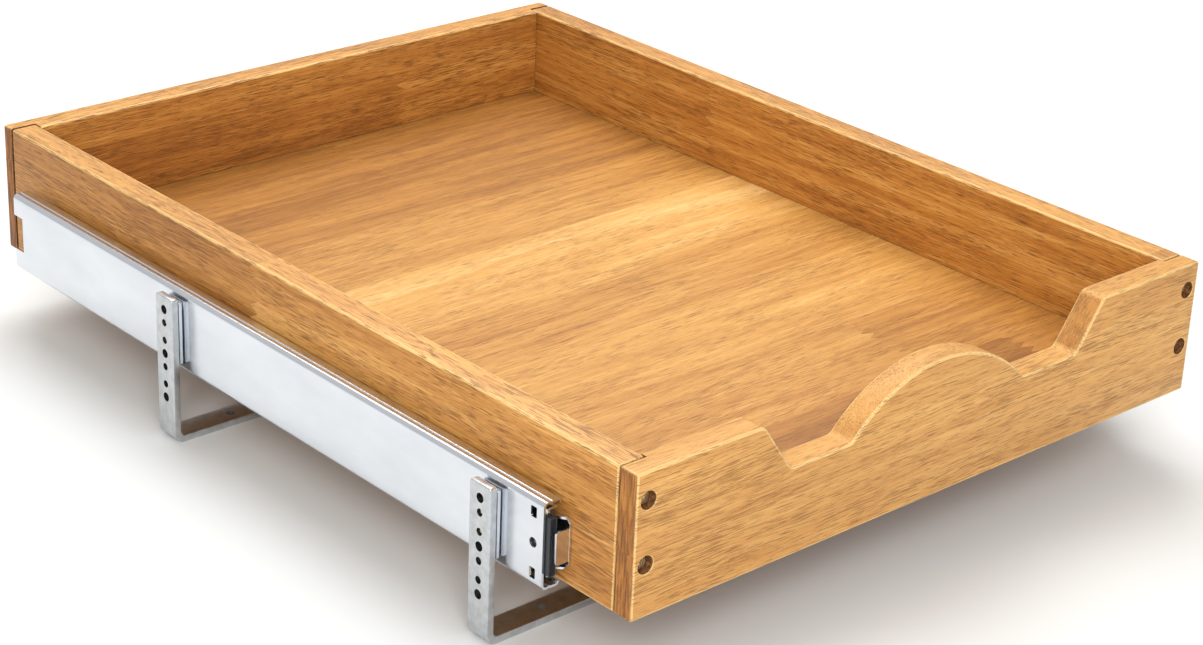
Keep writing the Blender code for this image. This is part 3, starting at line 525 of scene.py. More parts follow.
def bright_zinc():
    """Cold-rolled sheet with bright blue-white zinc.

    The eye sees nearly a mirror, softened along the slide by the rolling lines.
    """
    made, add, shader, place = new_material("bright_zinc_on_rolled_sheet", Metallic=1.0)
    # Rolling lines 0.6 mm apart and 70 mm long, and clouds of 17 by 40 mm in the plating
    lines = add("Mapping", {"Vector": place["Object"], "Scale": (1800, 14, 1800)})
    rolled = add("TexNoise", {"Vector": lines, "Scale": 1.0, "Detail": 3.0, "Roughness": 0.6})
    spots = add("Mapping", {"Vector": place["Object"], "Scale": (60, 25, 60)})
    clouds = add("TexNoise", {"Vector": spots, "Scale": 1.0, "Detail": 3.0, "Roughness": 0.6})
    shade = add("ValToRGB", {0: clouds}, [(0.3, "#d8dce2"), (0.7, "#e2e6ec")])
    rough = add("Math", {0: rolled, 1: 0.10, 2: 0.17}, operation="MULTIPLY_ADD")
    bump = add("Bump", {"Strength": 0.05, "Distance": 0.01 * MM, "Height": rolled})
    connect(shader, {"Base Color": shade, "Roughness": rough, "Normal": bump})
    return made


def satin_plating(name, dark, light, roughness):
    """Plated steel with a satin finish: the eye sees a soft sheen with faint cloudy spots."""
    made, add, shader, place = new_material(name, Metallic=1.0)
    clouds = {"Vector": place["Object"], "Scale": 220.0, "Detail": 4.0, "Roughness": 0.6}
    clouds = add("TexNoise", clouds)
    grit = add("TexNoise", {"Vector": place["Object"], "Scale": 2500.0, "Detail": 2.0})
    shade = add("ValToRGB", {0: clouds}, [(0.3, dark), (0.7, light)])
    rough = {0: clouds, 1: 0.18, 2: roughness - 0.09}
    rough = add("Math", rough, operation="MULTIPLY_ADD")
    bump = add("Bump", {"Strength": 0.15, "Distance": 0.03 * MM, "Height": grit})
    connect(shader, {"Base Color": shade, "Roughness": rough, "Normal": bump})
    return made


def moulded(name, code, roughness, grain):
    """Injection-moulded plastic or rubber: a fine spark-eroded grain and slightly uneven gloss."""
    made, add, shader, place = new_material(name)
    texture = {"Vector": place["Object"], "Scale": grain, "Detail": 2.0, "Roughness": 0.6}
    texture = add("TexNoise", texture)
    shade = add("ValToRGB", {0: texture}, [(0.2, code), (0.8, blended(code, "#ffffff", 0.08))])
    rough = {0: texture, 1: 0.2, 2: roughness - 0.1}
    rough = add("Math", rough, operation="MULTIPLY_ADD")
    bump = add("Bump", {"Strength": 0.3, "Distance": 0.05 * MM, "Height": texture})
    connect(shader, {"Base Color": shade, "Roughness": rough, "Normal": bump})
    return made


# The rear and right boards get darker tones than the front and left ones: painted shade for their
# inner faces, which face away from the overhead lamp
FRONT_WOOD = ("#9c622c", "#bc8243", "#d29b57", "#e6b46c")
REAR_WOOD_PAINTED_SHADE = ("#804e1c", "#a4682c", "#ba7e38", "#d0984e")
LEFT_WOOD = ("#8c5424", "#ae7434", "#c68a44", "#daa45c")
RIGHT_WOOD_PAINTED_SHADE = ("#7c4817", "#a26528", "#ba7d36", "#d09a50")
PANEL_WOOD = ("#8f5c28", "#b57d3a", "#d09b52", "#ecc27e")

# How pale the wood is, how strongly each part of its pattern moves the tone, how crowded and
# how dark its pores are, and the colour that its thin faces, such as the tops, lean to as painted
# light and shade
BOARD_FIGURE = {
    "paleness": 0.60,
    "broad": 0.42,
    "bands": 0.90,
    "streaks": 1.20,
    "fibre": 1.10,
    "blocks": 0.36,
    "crowding": 0.08,
    "pores": 0.75,
    # The colour of the thin faces, such as the tops: painted light and shade
    "edge": "#dfab63",
}
FRONT_FIGURE = {
    **BOARD_FIGURE,
    "paleness": 0.61,
    "broad": 0.30,
    "bands": 0.50,
    "streaks": 0.70,
    "fibre": 0.80,
    "blocks": 0.12,
    "pores": 0.55,
    # The tops and scoop flats of the front board are painted darker: painted shade against the
    # overhead lamp
    "edge": "#c8903f",
}
PANEL_FIGURE = {
    **BOARD_FIGURE,
    "broad": 0.15,
    "bands": 0.60,
    "streaks": 0.65,
    "fibre": 0.60,
    "blocks": 0.24,
    "crowding": 0.055,
    "pores": 0.55,
}
# How pale each stave of the panel is, from the front one to the rear one, in place of paleness;
# the staves differ in tone, and the darkest front and rear ones are also painted shade next to the
# front and rear boards
PANEL_STAVES_PAINTED_SHADE = (0.46, 0.64, 0.76, 0.62, 0.88, 0.74, 0.60, 0.48)
# Dark wood in the counterbores, with painted shade, and painted shadow in the open joints of the
# front and rear boards
BORE_AND_PAINTED_SHADE = bored_end_grain_and_painted_shade()
# Hole walls of dull steel, painted dark as shade in the punched holes
HOLE_WALL_PAINTED_SHADE = satin_plating("dull_hole_wall_painted_shade", "#3d3f40", "#55585a", 0.5)
ZINC = bright_zinc()
PLATE = satin_plating("satin_plated_bracket_steel", "#babdbf", "#d3d6d8", 0.36)
CAGE = satin_plating("pressed_retainer_strip", "#a3a6a8", "#bcbfc1", 0.30)
SCREW = satin_plating("yellow_passivated_screw_steel", "#e2d6ad", "#fbf2d2", 0.24)
BLACK = moulded("moulded_black_acetal", "#26272a", 0.45, 3000)
RUBBER = moulded("moulded_black_rubber", "#1b1b1c", 0.75, 1800)


# Tray


def scoop_outline():
    """The front board seen from the front: a hand scoop with sloping ends and an arch."""
    low = FRONT_HIGH.z - SCOOP_DEPTH
    radius = ((ARCH_CHORD / 2) ** 2 + SCOOP_DEPTH**2) / (2 * SCOOP_DEPTH)
    centre_z = FRONT_HIGH.z - radius
    fillet_x = math.sqrt((radius + ARCH_FILLET) ** 2 - (low + ARCH_FILLET - centre_z) ** 2)
    touch = math.atan2(fillet_x, low + ARCH_FILLET - centre_z)
    half_arch_steps, fillet_steps = 24, 6
    arch = []
    for step in range(2 * half_arch_steps + 1):
        angle = touch * (1 - step / half_arch_steps)
        arch.append((radius * math.sin(angle), centre_z + radius * math.cos(angle)))
    fillet = []
    for step in range(fillet_steps):
        angle = touch * step / fillet_steps
        x = fillet_x - ARCH_FILLET * math.sin(angle)
        fillet.append((x, low + ARCH_FILLET * (1 - math.cos(angle))))
    edge = SCOOP_WIDTH / 2
    corners = [(SIDE_X, FRONT_LOW.z), (SIDE_X, FRONT_HIGH.z), (edge, FRONT_HIGH.z)]
    corners += [(edge - SCOOP_SLOPE, low), (fillet_x, low)]
    right = rounded(corners, [0, SCOOP_CORNER, SCOOP_CORNER], fillet_steps)[:-1]
    right = [(x, z) for x, z in right] + fillet
    return right + arch + [(-x, z) for x, z in reversed(right)]


def front_board():
    board = drawn_line("front_board_detail", [(x, FRONT_LOW.y, z) for x, z in scoop_outline()])
    pick(board, "vertices", lambda centre, way: True)
    editing(board, bpy.ops.mesh.edge_face_add)
    drawn_out(board, (0, BOARD, 0))
    outward(board)
    ease(board, EASED, segments=3, angle=55, slot=1)
    return board


def screw_seat(depth):
    """A cutter for a wood screw: counterbore with an eased mouth, countersink and hole."""
    mouth = 0.35 * MM
    over = MM
    end = -BOARD - 3 * MM
    profile = [(0, depth + over), (COUNTERBORE + mouth + over, depth + over)]
    profile += [(COUNTERBORE, depth - mouth), (COUNTERBORE, 0), (WOOD_HEAD + JOINT, 0)]
    profile += [(WOOD_HEAD + JOINT, -2 * JOINT), (WOOD_SHANK + JOINT, -WOOD_HEAD_HEIGHT - JOINT)]
    profile += [(WOOD_SHANK + JOINT, end), (0, end)]
    return turned("screw_seat", profile, 48)


def screw_places(end):
    """The name and the middle of the head's top of each wood screw at the front or the rear."""
    found = []
    for side in SIDES:
        for row in ("lower", "upper"):
            name = f"{end}_{side}_{row}_screw"
            low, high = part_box(name)
            y = low.y if end == "front" else high.y
            found.append((name, Vector(((low.x + high.x) / 2, y, (low.z + high.z) / 2))))
    return found


def cross_board(board, node_name, into, rebate, looks):
    """Cuts the rebates, the groove and the screw holes of the front or rear board.

    Into is 1 or -1, the way along Y that leads from the board into the tray.
    """
    low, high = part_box(node_name)
    inner, face = (high.y, low.y) if into > 0 else (low.y, high.y)
    for side in SIDES.values():
        x = sorted((side * (SIDE_X - BOARD - JOINT), side * (SIDE_X + OVER)))
        y = sorted((inner - into * (rebate + OPEN_JOINT), inner + into * OVER))
        combine(board, block("rebate", (x[0], y[0], low.z - OVER), (x[1], y[1], high.z + OVER)))
    reach = SIDE_X - BOARD + GROOVE
    y = sorted((inner - into * GROOVE, inner + into * OVER))
    groove = ((-reach, y[0], PANEL_LOW.z - JOINT), (reach, y[1], PANEL_HIGH.z + JOINT))
    combine(board, block("groove", *groove))
    heads = screw_places("front" if into > 0 else "rear")
    seat = screw_seat(abs(heads[0][1].y - face))
    for name, head in heads:
        combine(board, copied(seat, "seat_of_" + name, head, (0, into, 0)))
    bpy.data.objects.remove(seat)
    # Slot 1 is the sanded wood at a counterbore's mouth, painted paler as a highlight ring, and
    # slot 2 the dark wood inside it, oiled end grain with painted shade, and in the open joints,
    # where it is painted shadow
    for cut in board.data.polygons:
        away = min(math.hypot(cut.center.x - at.x, cut.center.z - at.z) for _, at in heads)
        sunk = into * (inner - cut.center.y)
        in_joint_painted_shadow = abs(cut.center.x) > SIDE_X - BOARD - MM and 0.2 * MM < sunk < BOARD - 3 * MM
        if away < COUNTERBORE or (in_joint_painted_shadow and into * cut.normal.y > 0.9):
            cut.material_index = 2
        elif away < COUNTERBORE + 0.4 * MM and abs(cut.normal.y) < 0.95:
            cut.material_index = 1
    smooth(board)
    dress(board, node_name, *looks)


def bevel_long_edges(board):
    """Eases the edges along Y only: the ends stay square in their joints."""
    group = board.vertex_groups.new(name="long_edges")
    pick(board, "edges", lambda centre, way: abs(way.y) > 0.9)
    editing(board, bpy.ops.object.vertex_group_assign)
    open_slots(board, 2)
    apply(
        board,
        "BEVEL",
        width=EASED,
        segments=3,
        limit_method="VGROUP",
        vertex_group=group.name,
        # The rounded faces take slot 1, the sanded edge that is painted paler as a highlight
        material=1,
    )


def side_boards(right_looks, left_looks):
    low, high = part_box("right_side_board")
    board = block("right_side_board_detail", low, high)
    bevel_long_edges(board)
    inner = SIDE_X - BOARD
    groove = (inner - OVER, low.y - OVER, PANEL_LOW.z - JOINT)
    combine(board, block("groove", groove, (inner + GROOVE, high.y + OVER, PANEL_HIGH.z + JOINT)))
    for end, into in (("front", 1), ("rear", -1)):
        for name, head in screw_places(end)[2:]:
            screw_low, screw_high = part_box(name)
            tip = head + Vector((0, into * (screw_high.y - screw_low.y + JOINT), 0))
            combine(board, rod("pilot", head, tip, WOOD_SHANK + 0.1 * MM))
    for row in ("front", "middle", "rear"):
        screw_low, screw_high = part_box(f"right_{row}_member_screw")
        centre = (screw_low + screw_high) / 2
        tip = Vector((screw_low.x - JOINT, centre.y, centre.z))
        start = Vector((high.x + OVER, centre.y, centre.z))
        combine(board, rod("pilot", start, tip, STEEL_SHANK + 0.1 * MM))
    dress_pair(board, "right_side_board", right_looks, left_looks)


def wood_looks(name, tones, **pattern):
    """The wood of a board, of its sanded edges, painted paler as a highlight along them, and of
    its counterbores.
    """
    face = oiled_hardwood("oiled_hardwood_" + name, tones, **pattern)
    # The sanded edges are paler wood, and are painted paler still as a highlight line along the
    # rounded edges
    paler_painted_highlight = [blended(tone, "#f6d89a", 0.6) for tone in tones]
    edge = oiled_hardwood(f"oiled_hardwood_{name}_sanded_edge", paler_painted_highlight, **pattern)
    return [face, edge, BORE_AND_PAINTED_SHADE]


def make_tray():
    cross = {"grain": 0, "across": 2, "through": 1, "stave": 0.083}
    along = {"grain": 1, "across": 2, "through": 0, "stave": 0.083, "figure": BOARD_FIGURE}
    front = wood_looks("front", FRONT_WOOD, **cross, length=1.1, seed=3, figure=FRONT_FIGURE)
    cross_board(front_board(), "front_board", 1, FRONT_REBATE, front)
    board = block("rear_board_detail", REAR_LOW, REAR_HIGH)
    ease(board, EASED, segments=3, angle=55, slot=1)
    rear = wood_looks("rear", REAR_WOOD_PAINTED_SHADE, **cross, length=0.3, seed=5, figure=BOARD_FIGURE)
    cross_board(board, "rear_board", -1, REAR_REBATE, rear)
    left = wood_looks("left_side", LEFT_WOOD, **along, length=0.36, seed=11)
    right = wood_looks("right_side", RIGHT_WOOD_PAINTED_SHADE, **along, length=0.33, seed=9)
    side_boards(right, left)
    panel = oiled_hardwood(
        "oiled_hardwood_panel",
        PANEL_WOOD,
        grain=0,
        across=1,
        through=2,
        stave=(PANEL_HIGH.y - PANEL_LOW.y) / len(PANEL_STAVES_PAINTED_SHADE),
        length=0.42,
        seed=2,
        figure=PANEL_FIGURE,
        planks=PANEL_STAVES_PAINTED_SHADE,
    )
    frame["nodes"]["bottom_panel"].material_slots[0].material = panel


# Screws


def cross_recess(screw, reach, depth):
    """A tapered cross for the driver, in a screw with its head's top at the origin."""
    half_width = 0.22 * reach
    for quarter in (0, 90):
        low = (-reach, -half_width, -depth)
        arm = block("recess_arm", low, (reach, half_width, depth))
        pick(arm, "polygons", lambda centre, normal: normal.z < -0.9)
        editing(arm, bpy.ops.transform.resize, value=(0.4, 0.6, 1))
        arm.rotation_euler.z = math.radians(quarter)
        place_in_mesh(arm)
        combine(screw, arm)
    smooth(screw)


def thread(radius, top, tip, pitch, root):
    """Crests and roots of a thread down a shank, the root as a share of the radius."""
    turns = int((top - tip) / pitch)
    found = []
    for i in range(turns):
        z = top - i * pitch
        found += [(radius * root, z - 0.2 * pitch), (radius, z - 0.55 * pitch)]
    return found


def wood_screws():
    """Countersunk wood screws that fix the front and rear boards to the side boards."""
    low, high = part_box("front_left_lower_screw")
    tip = low.y - high.y
    top = -WOOD_HEAD_HEIGHT - 3 * MM
    profile = [(0, 0), (WOOD_HEAD - 0.25 * MM, 0), (WOOD_HEAD, -0.25 * MM)]
    profile += [(WOOD_SHANK, -WOOD_HEAD_HEIGHT), (WOOD_SHANK, top)]
    profile += thread(WOOD_SHANK, top, tip + 4 * MM, 1.8 * MM, 0.66)
    profile += [(WOOD_SHANK * 0.6, tip + 3.5 * MM), (0, tip)]
    screw = turned("wood_screw", profile, 40)
    cross_recess(screw, 2.2 * MM, 1.6 * MM)
    for end, into in (("front", 1), ("rear", -1)):
        for i, (name, head) in enumerate(screw_places(end)):
            dress(copied(screw, name + "_detail", head, (0, into, 0), 20 + 33 * i), name, SCREW)
    bpy.data.objects.remove(screw)


def side_screws(kind, profile, recess, heads_outward):
    """Copies one turned screw to every place of its kind on the slides."""
    screw = turned(kind, profile)
    cross_recess(screw, *recess)
    for i, name in enumerate(n for n in SLOT_OF if n.endswith(kind)):
        low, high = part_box(name)
        centre = (low + high) / 2
        side = 1 if centre.x > 0 else -1
        towards = -side if heads_outward else side
        centre.x = low.x if towards > 0 else high.x
        dress(copied(screw, name + "_detail", centre, (towards, 0, 0), 37 * i), name, SCREW)
    bpy.data.objects.remove(screw)


def make_screws():
    wood_screws()
    low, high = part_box("right_front_member_screw")
    tip = low.x - high.x
    pan = [(0, 0), (2.2 * MM, -0.05 * MM), (3.0 * MM, -0.5 * MM), (STEEL_HEAD, -1.3 * MM)]
    pan += [(STEEL_HEAD, -1.9 * MM), (STEEL_SHANK, -1.9 * MM)]
    pan += thread(STEEL_SHANK, -2.0 * MM, tip + 3 * MM, 1.4 * MM, 0.68)
    pan += [(0.9 * MM, tip + 2.2 * MM), (0, tip)]
    side_screws("member_screw", pan, (1.8 * MM, 1.2 * MM), heads_outward=True)
    low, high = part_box("right_front_upper_bracket_screw")
    tip = low.x - high.x
    under = -1.6 * MM
    machine = [(0, 0), (2.9 * MM, 0), (STEEL_HEAD, -0.5 * MM), (STEEL_HEAD, under)]
    machine += [(STEEL_SHANK, under)]
    machine += thread(STEEL_SHANK, under, tip + 0.5 * MM, 0.7 * MM, 0.82)
    machine += [(1.25 * MM, tip + 0.15 * MM), (1.1 * MM, tip), (0, tip)]
    side_screws("bracket_screw", machine, (1.7 * MM, 1.0 * MM), heads_outward=False)


# Slides


def folded_member(name, upper, radii, sheet):
    """A member folded from sheet.

    The path is its upper half from the lip to the web, by distance out and height, and it and
    the radii are in millimetres.
    """
    low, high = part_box(name)
    full = upper + [(distance, -height) for distance, height in reversed(upper)]
    full = [(SIDE_X + distance * MM, SLIDE_Z + height * MM) for distance, height in full]
    path = rounded(full, [radius * MM for radius in radii + radii[::-1]])
    return folded_sheet(name + "_detail", path, low.y, high.y, sheet), low.y, high.y


def drill(piece, y, height, radius, reach):
    """A hole through a web; reach says how far out it starts and ends."""
    combine(piece, rod("hole", out(reach[0], y, height), out(reach[1], y, height), radius, 32))


def outer_member():
    """The fixed member: a C-section with rounded shoulders and a raised ball race."""
    name = "right_outer_member"
    upper = [(2.75, 20.3), (3.1, 21.9), (7.4, 21.9), (8.1, 21.35), (8.9, 21.9), (12.1, 21.9)]
    radii = [0.8, 0.5, 0.3, 0.5, 2.2]
    member, front, rear = folded_member(name, upper, radii, OUTER_SHEET)
    reach = (10.8 * MM, 14 * MM)
    holes_y = front + 6.7 * MM
    for edge in (1, -1):
        heights = sorted((edge * 18.4 * MM, edge * 12.9 * MM))
        corners = span(*reach, holes_y - 2 * MM, holes_y + 2 * MM, *heights)
        window = block("window", *corners)
        bevel_edges(window, lambda centre, way: abs(way.x) > 0.9, 0.5 * MM, 3)
        combine(member, window)
    drill(member, holes_y, 0, 2.5 * MM, reach)
    tab_back = rear - STOP_TAB_INSET
    notch = span(*reach, tab_back, rear + OVER, -10.2 * MM, 10.2 * MM)
    combine(member, block("notch", *notch))
    tab = span(4.6 * MM, 12.0 * MM, tab_back - OUTER_SHEET, tab_back, -7.5 * MM, 7.5 * MM)
    combine(member, block("stop_tab", *tab), "UNION")
    for place in ("front", "rear"):
        for row in ("upper", "lower"):
            low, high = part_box(f"right_{place}_{row}_bracket_screw")
            centre = (low + high) / 2
            drill(member, centre.y, centre.z - SLIDE_Z, SCREW_HOLE, reach)
    ease(member, 0.15 * MM, 1, 60)
    dress_pair(member, name, [ZINC])


def middle_member():
    name = "right_middle_member"
    upper = [(2.7, 17.0), (3.1, 17.4), (8.0, 17.4)]
    member, front, _ = folded_member(name, upper, [0.3, 1.0], MIDDLE_SHEET)
    for distance in (18, 100, 200, 320, 410):
        drill(member, front + distance * MM, 0, 3 * MM, (6 * MM, 10 * MM))
    ease(member, 0.12 * MM, 1, 60)
    dress_pair(member, name, [ZINC])


def drawer_member():
    """The member on the tray: holes along its web, its nose bevelled and bent out into a tab."""
    name = "right_drawer_member"
    member, front, _ = folded_member(name, [(6.4, 12.9), (0.9, 12.9)], [1.0], INNER_SHEET)
    for edge in (1, -1):
        # The flange is cut off obliquely, from 8.5 mm behind the nose at its lip
        cut = [(1.6, -2), (9, -2), (9, 12.2), (1.6, 1.6)]
        cut = [out(distance * MM, front + y * MM, edge * 10.5 * MM) for distance, y in cut]
        flange_end = drawn_line("flange_end", cut)
        pick(flange_end, "vertices", lambda centre, way: True)
        editing(flange_end, bpy.ops.mesh.edge_face_add)
        drawn_out(flange_end, (0, 0, edge * 5.5 * MM))
        outward(flange_end)
        combine(member, flange_end)
        # A square turned by 45 degrees takes 3 mm off the corner of the web
        half = 6 * MM
        corner = block("nose_corner", (-9 * MM, -half, -half), (9 * MM, half, half))
        corner.rotation_euler.x = math.radians(45)
        inside = half * math.sqrt(2) - 3 * MM
        corner.location = out(0, front - inside, edge * 13.5 * MM)
        place_in_mesh(corner)
        combine(member, corner)
    tab = span(0.9 * MM, 9.2 * MM, front + 0.1 * MM, front + 1.3 * MM, -8.5 * MM, 8.5 * MM)
    tab = block("nose_tab", *tab)
    tip = SIDE_X + 5 * MM
    bevel_edges(tab, lambda centre, way: abs(way.y) > 0.9 and centre.x > tip, 1.2 * MM, 4)
    combine(member, tab, "UNION")
    reach = (-2 * MM, 4 * MM)
    for row in ("front", "middle", "rear"):
        low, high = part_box(f"right_{row}_member_screw")
        y = (low.y + high.y) / 2
        drill(member, y, 0, SCREW_HOLE, reach)
        for shift in (-14 * MM, 14 * MM):
            drill(member, y + shift, 0, 2.3 * MM, reach)
    low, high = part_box("right_lever_rivet")
    drill(member, (low.y + high.y) / 2, 0, 2.3 * MM, reach)
    ease(member, 0.15 * MM, 1, 60)
    dress_pair(member, name, [ZINC])


def ball_cage(name, web, row_height):
    """A pressed strip with steel balls held in its flanges, and holes along its web.

    The distance of the web and the height of the rows of balls are in millimetres.
    """
    upper = [(3.3, row_height), (web, row_height)]
    cage, front, rear = folded_member(name, upper, [0.7], CAGE_SHEET)
    holes = 12
    for i in range(holes):
        y = front + (rear - front) * (i + 0.5) / holes
        drill(cage, y, 0, 3.2 * MM, (web * MM - 2 * MM, web * MM + 2 * MM))
    ease(cage, 0.1 * MM, 1, 60)
    bpy.ops.object.select_all(action="DESELECT")
    bpy.ops.mesh.primitive_uv_sphere_add(segments=16, ring_count=10, radius=BALL)
    ball = named("ball")
    smooth(ball, 60)
    end = 4 * MM
    count = round((rear - front - 2 * end) / BALL_SPACING)
    balls = []
    for i in range(count + 1):
        y = front + end + i * (rear - front - 2 * end) / count
        for edge in (1, -1):
            balls.append(copied(ball, "ball", out(4.7 * MM, y, edge * row_height * MM)))
    bpy.data.objects.remove(ball)
    only(cage)
    for made in balls:
        made.select_set(True)
    bpy.ops.object.join()
    dress_pair(cage, name, [CAGE])


def front_bumper():
    """A plastic stop with a hollow front and curved ribs, and a tongue behind the web."""
    name = "right_front_bumper"
    low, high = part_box(name)
    back = low.y + 4.3 * MM
    near, far = low.x - SIDE_X, high.x - SIDE_X
    half = (high.z - low.z) / 2
    bumper = block(name + "_detail", *span(near, far, low.y, back, -half, half))
    bevel_edges(bumper, lambda centre, way: abs(way.y) > 0.9, 0.9 * MM, 4)
    pick(bumper, "polygons", lambda centre, normal: normal.y < -0.9)
    editing(bumper, bpy.ops.mesh.inset, thickness=0.5 * MM, depth=0)
    editing(bumper, bpy.ops.mesh.inset, thickness=0.05 * MM, depth=-2.2 * MM)
    # Ribs bow towards the tray from an axis outside the slide
    axis = 21 * MM
    rib_thickness = 0.6 * MM
    inset = 0.3 * MM
    for radius in (13.6 * MM, 12.2 * MM):
        ends = (out(axis, low.y + 0.2 * MM, 0), out(axis, back - MM, 0))
        rib = rod("rib", *ends, radius, 96)
        ends = (out(axis, low.y - MM, 0), out(axis, back + MM, 0))
        combine(rib, rod("hollow", *ends, radius - rib_thickness, 96))
        inside = span(near + inset, far - inset, low.y, back, inset - half, half - inset)
        combine(rib, block("inside", *inside), "INTERSECT")
        combine(bumper, rib, "UNION")
    tongue = span(8.8 * MM, far, back - MM, high.y, -half / 2, half / 2)
    combine(bumper, block("tongue", *tongue), "UNION")
    ease(bumper, 0.12 * MM, 2, 55)
    dress_pair(bumper, name, [BLACK])


def rear_bumper():
    """A rubber sleeve pushed over the stop tab."""
    name = "right_rear_bumper"
    low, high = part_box(name)
    sleeve = block(name + "_detail", low, high)
    ease(sleeve, 0.8 * MM, 3)
    back = OUTER_HIGH.y - STOP_TAB_INSET
    slot = span(4.3 * MM, 12 * MM, back - OUTER_SHEET - JOINT, back + JOINT, -7.8 * MM, 7.8 * MM)
    combine(sleeve, block("slot", *slot))
    dress_pair(sleeve, name, [RUBBER])


def release_lever():
    """A flat moulded lever: a ribbed finger pad, a round boss and a slim spring arm."""
    name = "right_release_lever"
    low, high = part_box(name)
    rivet_low, rivet_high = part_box("right_lever_rivet")
    pivot = (rivet_low.y + rivet_high.y) / 2
    near, far = low.x - SIDE_X, high.x - SIDE_X
    lever = block(name + "_detail", low, high)
    for edge in (1, -1):
        heights = sorted((edge * 2.9 * MM, edge * 9 * MM))
        waste = span(-2 * MM, 9 * MM, pivot - 12 * MM, high.y + 4 * MM, *heights)
        combine(lever, block("waste", *waste))
    bevel_edges(lever, lambda centre, way: abs(way.x) > 0.9 and centre.y < pivot, 1.8 * MM, 5)
    bevel_edges(lever, lambda centre, way: abs(way.x) > 0.9 and centre.y > pivot, 1.4 * MM, 4)
    boss = rod("boss", out(near, pivot, 0), out(far, pivot, 0), 4.2 * MM)
    combine(lever, boss, "UNION")
    for i in range(5):
        y = low.y + (3.2 + 2.2 * i) * MM
        groove = span(far - 0.4 * MM, far + 2 * MM, y, y + 0.9 * MM, -3 * MM, 3 * MM)
        combine(lever, block("grip_groove", *groove))
    drill(lever, pivot, 0, 2.1 * MM, (-1 * MM, 9 * MM))
    ease(lever, 0.2 * MM, 2, 60)
    dress_pair(lever, name, [BLACK])


def lever_rivet():
    name = "right_lever_rivet"
    low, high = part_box(name)
    centre = (low + high) / 2
    tip = low.x - high.x
    profile = [(0, 0), (1.8 * MM, -0.1 * MM), (2.8 * MM, -0.35 * MM), (3.2 * MM, -0.7 * MM)]
    profile += [(2.0 * MM, -0.7 * MM), (2.0 * MM, tip), (0, tip)]
    rivet = turned("rivet", profile)
    head = Vector((high.x, centre.y, centre.z))
    made = copied(rivet, name + "_detail", head, (-1, 0, 0))
    bpy.data.objects.remove(rivet)
    dress_pair(made, name, [ZINC])


def make_slides():
    outer_member()
    middle_member()
    drawer_member()
    ball_cage("right_outer_ball_cage", web=9.05, row_height=19.6)
    ball_cage("right_inner_ball_cage", web=6.95, row_height=15.2)
    front_bumper()
    rear_bumper()
    release_lever()
    lever_rivet()


# Brackets


def bracket(end):
    """A plate bent into an L: a strap with a ladder of holes, and a foot that runs inward."""
    name = f"right_{end}_bracket"
    low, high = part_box(name)
    half = BRACKET_PLATE / 2
    strap = high.x - half
    middle_y = (low.y + high.y) / 2
    path = rounded([(strap, high.z), (strap, half), (low.x, half)], [4.5 * MM], 10)
    made = folded_sheet(name + "_detail", path, low.y, high.y, BRACKET_PLATE)
    top, tip = high.z - 0.1 * MM, low.x + 0.1 * MM
    bevel_edges(made, lambda centre, way: abs(way.x) > 0.9 and centre.z > top, 1.6 * MM, 5)
    bevel_edges(made, lambda centre, way: abs(way.z) > 0.9 and centre.x < tip, 1.6 * MM, 5)
    ease(made, 0.5 * MM, 3, 60)
    reach = (strap - SIDE_X - 4 * MM, strap - SIDE_X + 4 * MM)
    for period in range(3):
        drill(made, middle_y, HOLE_PITCH / 2 - period * HOLE_PITCH, LADDER_HOLE, reach)
    for period in range(2):
        for edge in (1, -1):
            drill(made, middle_y, edge * LUG_HOLE - period * HOLE_PITCH, SCREW_HOLE, reach)
    for distance in (40 * MM, 68 * MM):
        x = high.x - distance
        ends = ((x, middle_y, -2 * MM), (x, middle_y, 7 * MM))
        combine(made, rod("hole", *ends, LADDER_HOLE, 32))
    # The walls of the punched holes, where the plating is thin and dull, painted much darker for
    # the shade in the holes
    for face in made.data.polygons:
        near = abs(face.center.y - middle_y) < LADDER_HOLE + 0.1 * MM
        across = near and abs(face.normal.x) < 0.3
        if across and 8 * MM < face.center.z < high.z - MM:
            face.material_index = 1
    dress_pair(made, name, [PLATE, HOLE_WALL_PAINTED_SHADE])


def lug(end):
    """A short channel between the slide and the strap, its flanges against the strap."""
    name = f"right_{end}_lug"
    low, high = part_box(name)
    half = LUG_SHEET / 2
    base = low.x + half
    y = (low.y + half, high.y - half)
    path = rounded([(high.x, y[0]), (base, y[0]), (base, y[1]), (high.x, y[1])], [MM, MM])
    made = drawn_line(name + "_detail", [(x, y, low.z) for x, y in path])
    drawn_out(made, (0, 0, high.z - low.z))
    apply(made, "SOLIDIFY", thickness=LUG_SHEET, offset=0, use_even_offset=True)
    outward(made)
    middle_y = (low.y + high.y) / 2
    for edge in (1, -1):
        drill(made, middle_y, edge * LUG_HOLE, SCREW_HOLE, (11 * MM, 18 * MM))
    ease(made, 0.2 * MM, 2, 60)
    dress_pair(made, name, [ZINC])


def make_brackets():
    for end in ("front", "rear"):
        bracket(end)
        lug(end)


# Stage


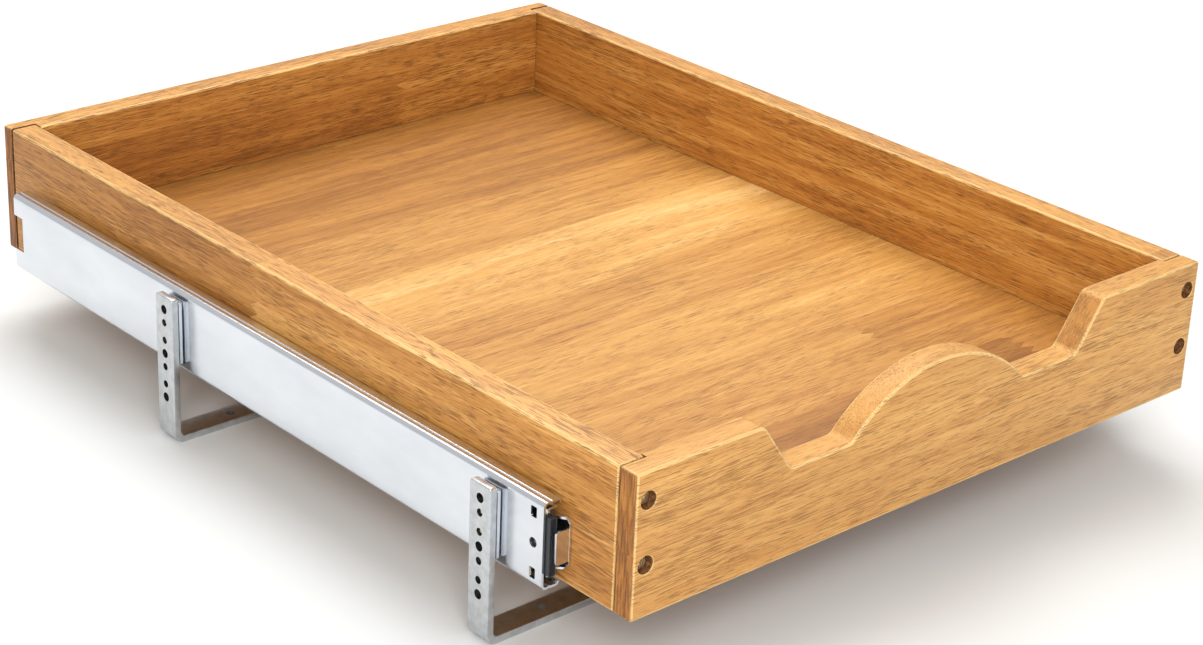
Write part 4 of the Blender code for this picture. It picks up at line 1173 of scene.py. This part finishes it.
def softbox(name, place, target, size, power):
    light = bpy.data.lights.new(name, "AREA")
    light.shape = "SQUARE"
    light.size = size
    light.energy = power
    made = bpy.data.objects.new(name, light)
    made.location = place
    made.rotation_euler = (Vector(target) - Vector(place)).to_track_quat("-Z", "Y").to_euler()
    bpy.context.scene.collection.objects.link(made)


def make_stage():
    bpy.ops.object.select_all(action="DESELECT")
    bpy.ops.mesh.primitive_plane_add(size=40)
    floor = named("studio_floor")
    white = {"Base_Color": colour("#dededc"), "Roughness": 0.9, "Specular_IOR_Level": 0.0}
    floor.data.materials.append(new_material("matt_white_floor", **white)[0])
    world = bpy.data.worlds.new("white_studio")
    bpy.context.scene.world = world
    world.use_nodes = True
    sky = world.node_tree.nodes["Background"]
    sky.inputs["Color"].default_value = (1, 1, 1, 1)
    sky.inputs["Strength"].default_value = 0.66
    softbox("overhead_softbox", (0.35, 0.55, 1.5), (0, 0, 0), size=1.3, power=25)
    softbox("front_softbox", (-1.3, -1.4, 1.1), (0, 0, 0.06), size=1.1, power=27)


def make_camera():
    """A long lens from the front left, a little above the tray and slightly rolled."""
    place = Vector((-0.92074, -1.02552, 0.66289))
    azimuth, elevation, roll = (math.radians(a) for a in (-42.6, 24.06, 2.5))
    back = Vector((
        math.sin(azimuth) * math.cos(elevation),
        -math.cos(azimuth) * math.cos(elevation),
        math.sin(elevation),
    ))
    right = Vector((0, 0, 1)).cross(back).normalized()
    up = back.cross(right)
    rolled_right = right * math.cos(roll) + up * math.sin(roll)
    rolled_up = up * math.cos(roll) - right * math.sin(roll)
    camera = bpy.data.cameras.new("camera")
    camera.sensor_width = 36
    camera.lens = 81.59
    camera.shift_x = -0.0021
    camera.shift_y = -0.0146
    made = bpy.data.objects.new("camera", camera)
    turn = Matrix((rolled_right, rolled_up, back)).transposed().to_4x4()
    made.matrix_world = Matrix.Translation(place) @ turn
    bpy.context.scene.collection.objects.link(made)
    bpy.context.scene.camera = made


make_camera()
make_tray()
make_screws()
make_slides()
make_brackets()
make_stage()
bpy.context.scene.view_settings.view_transform = "Standard"
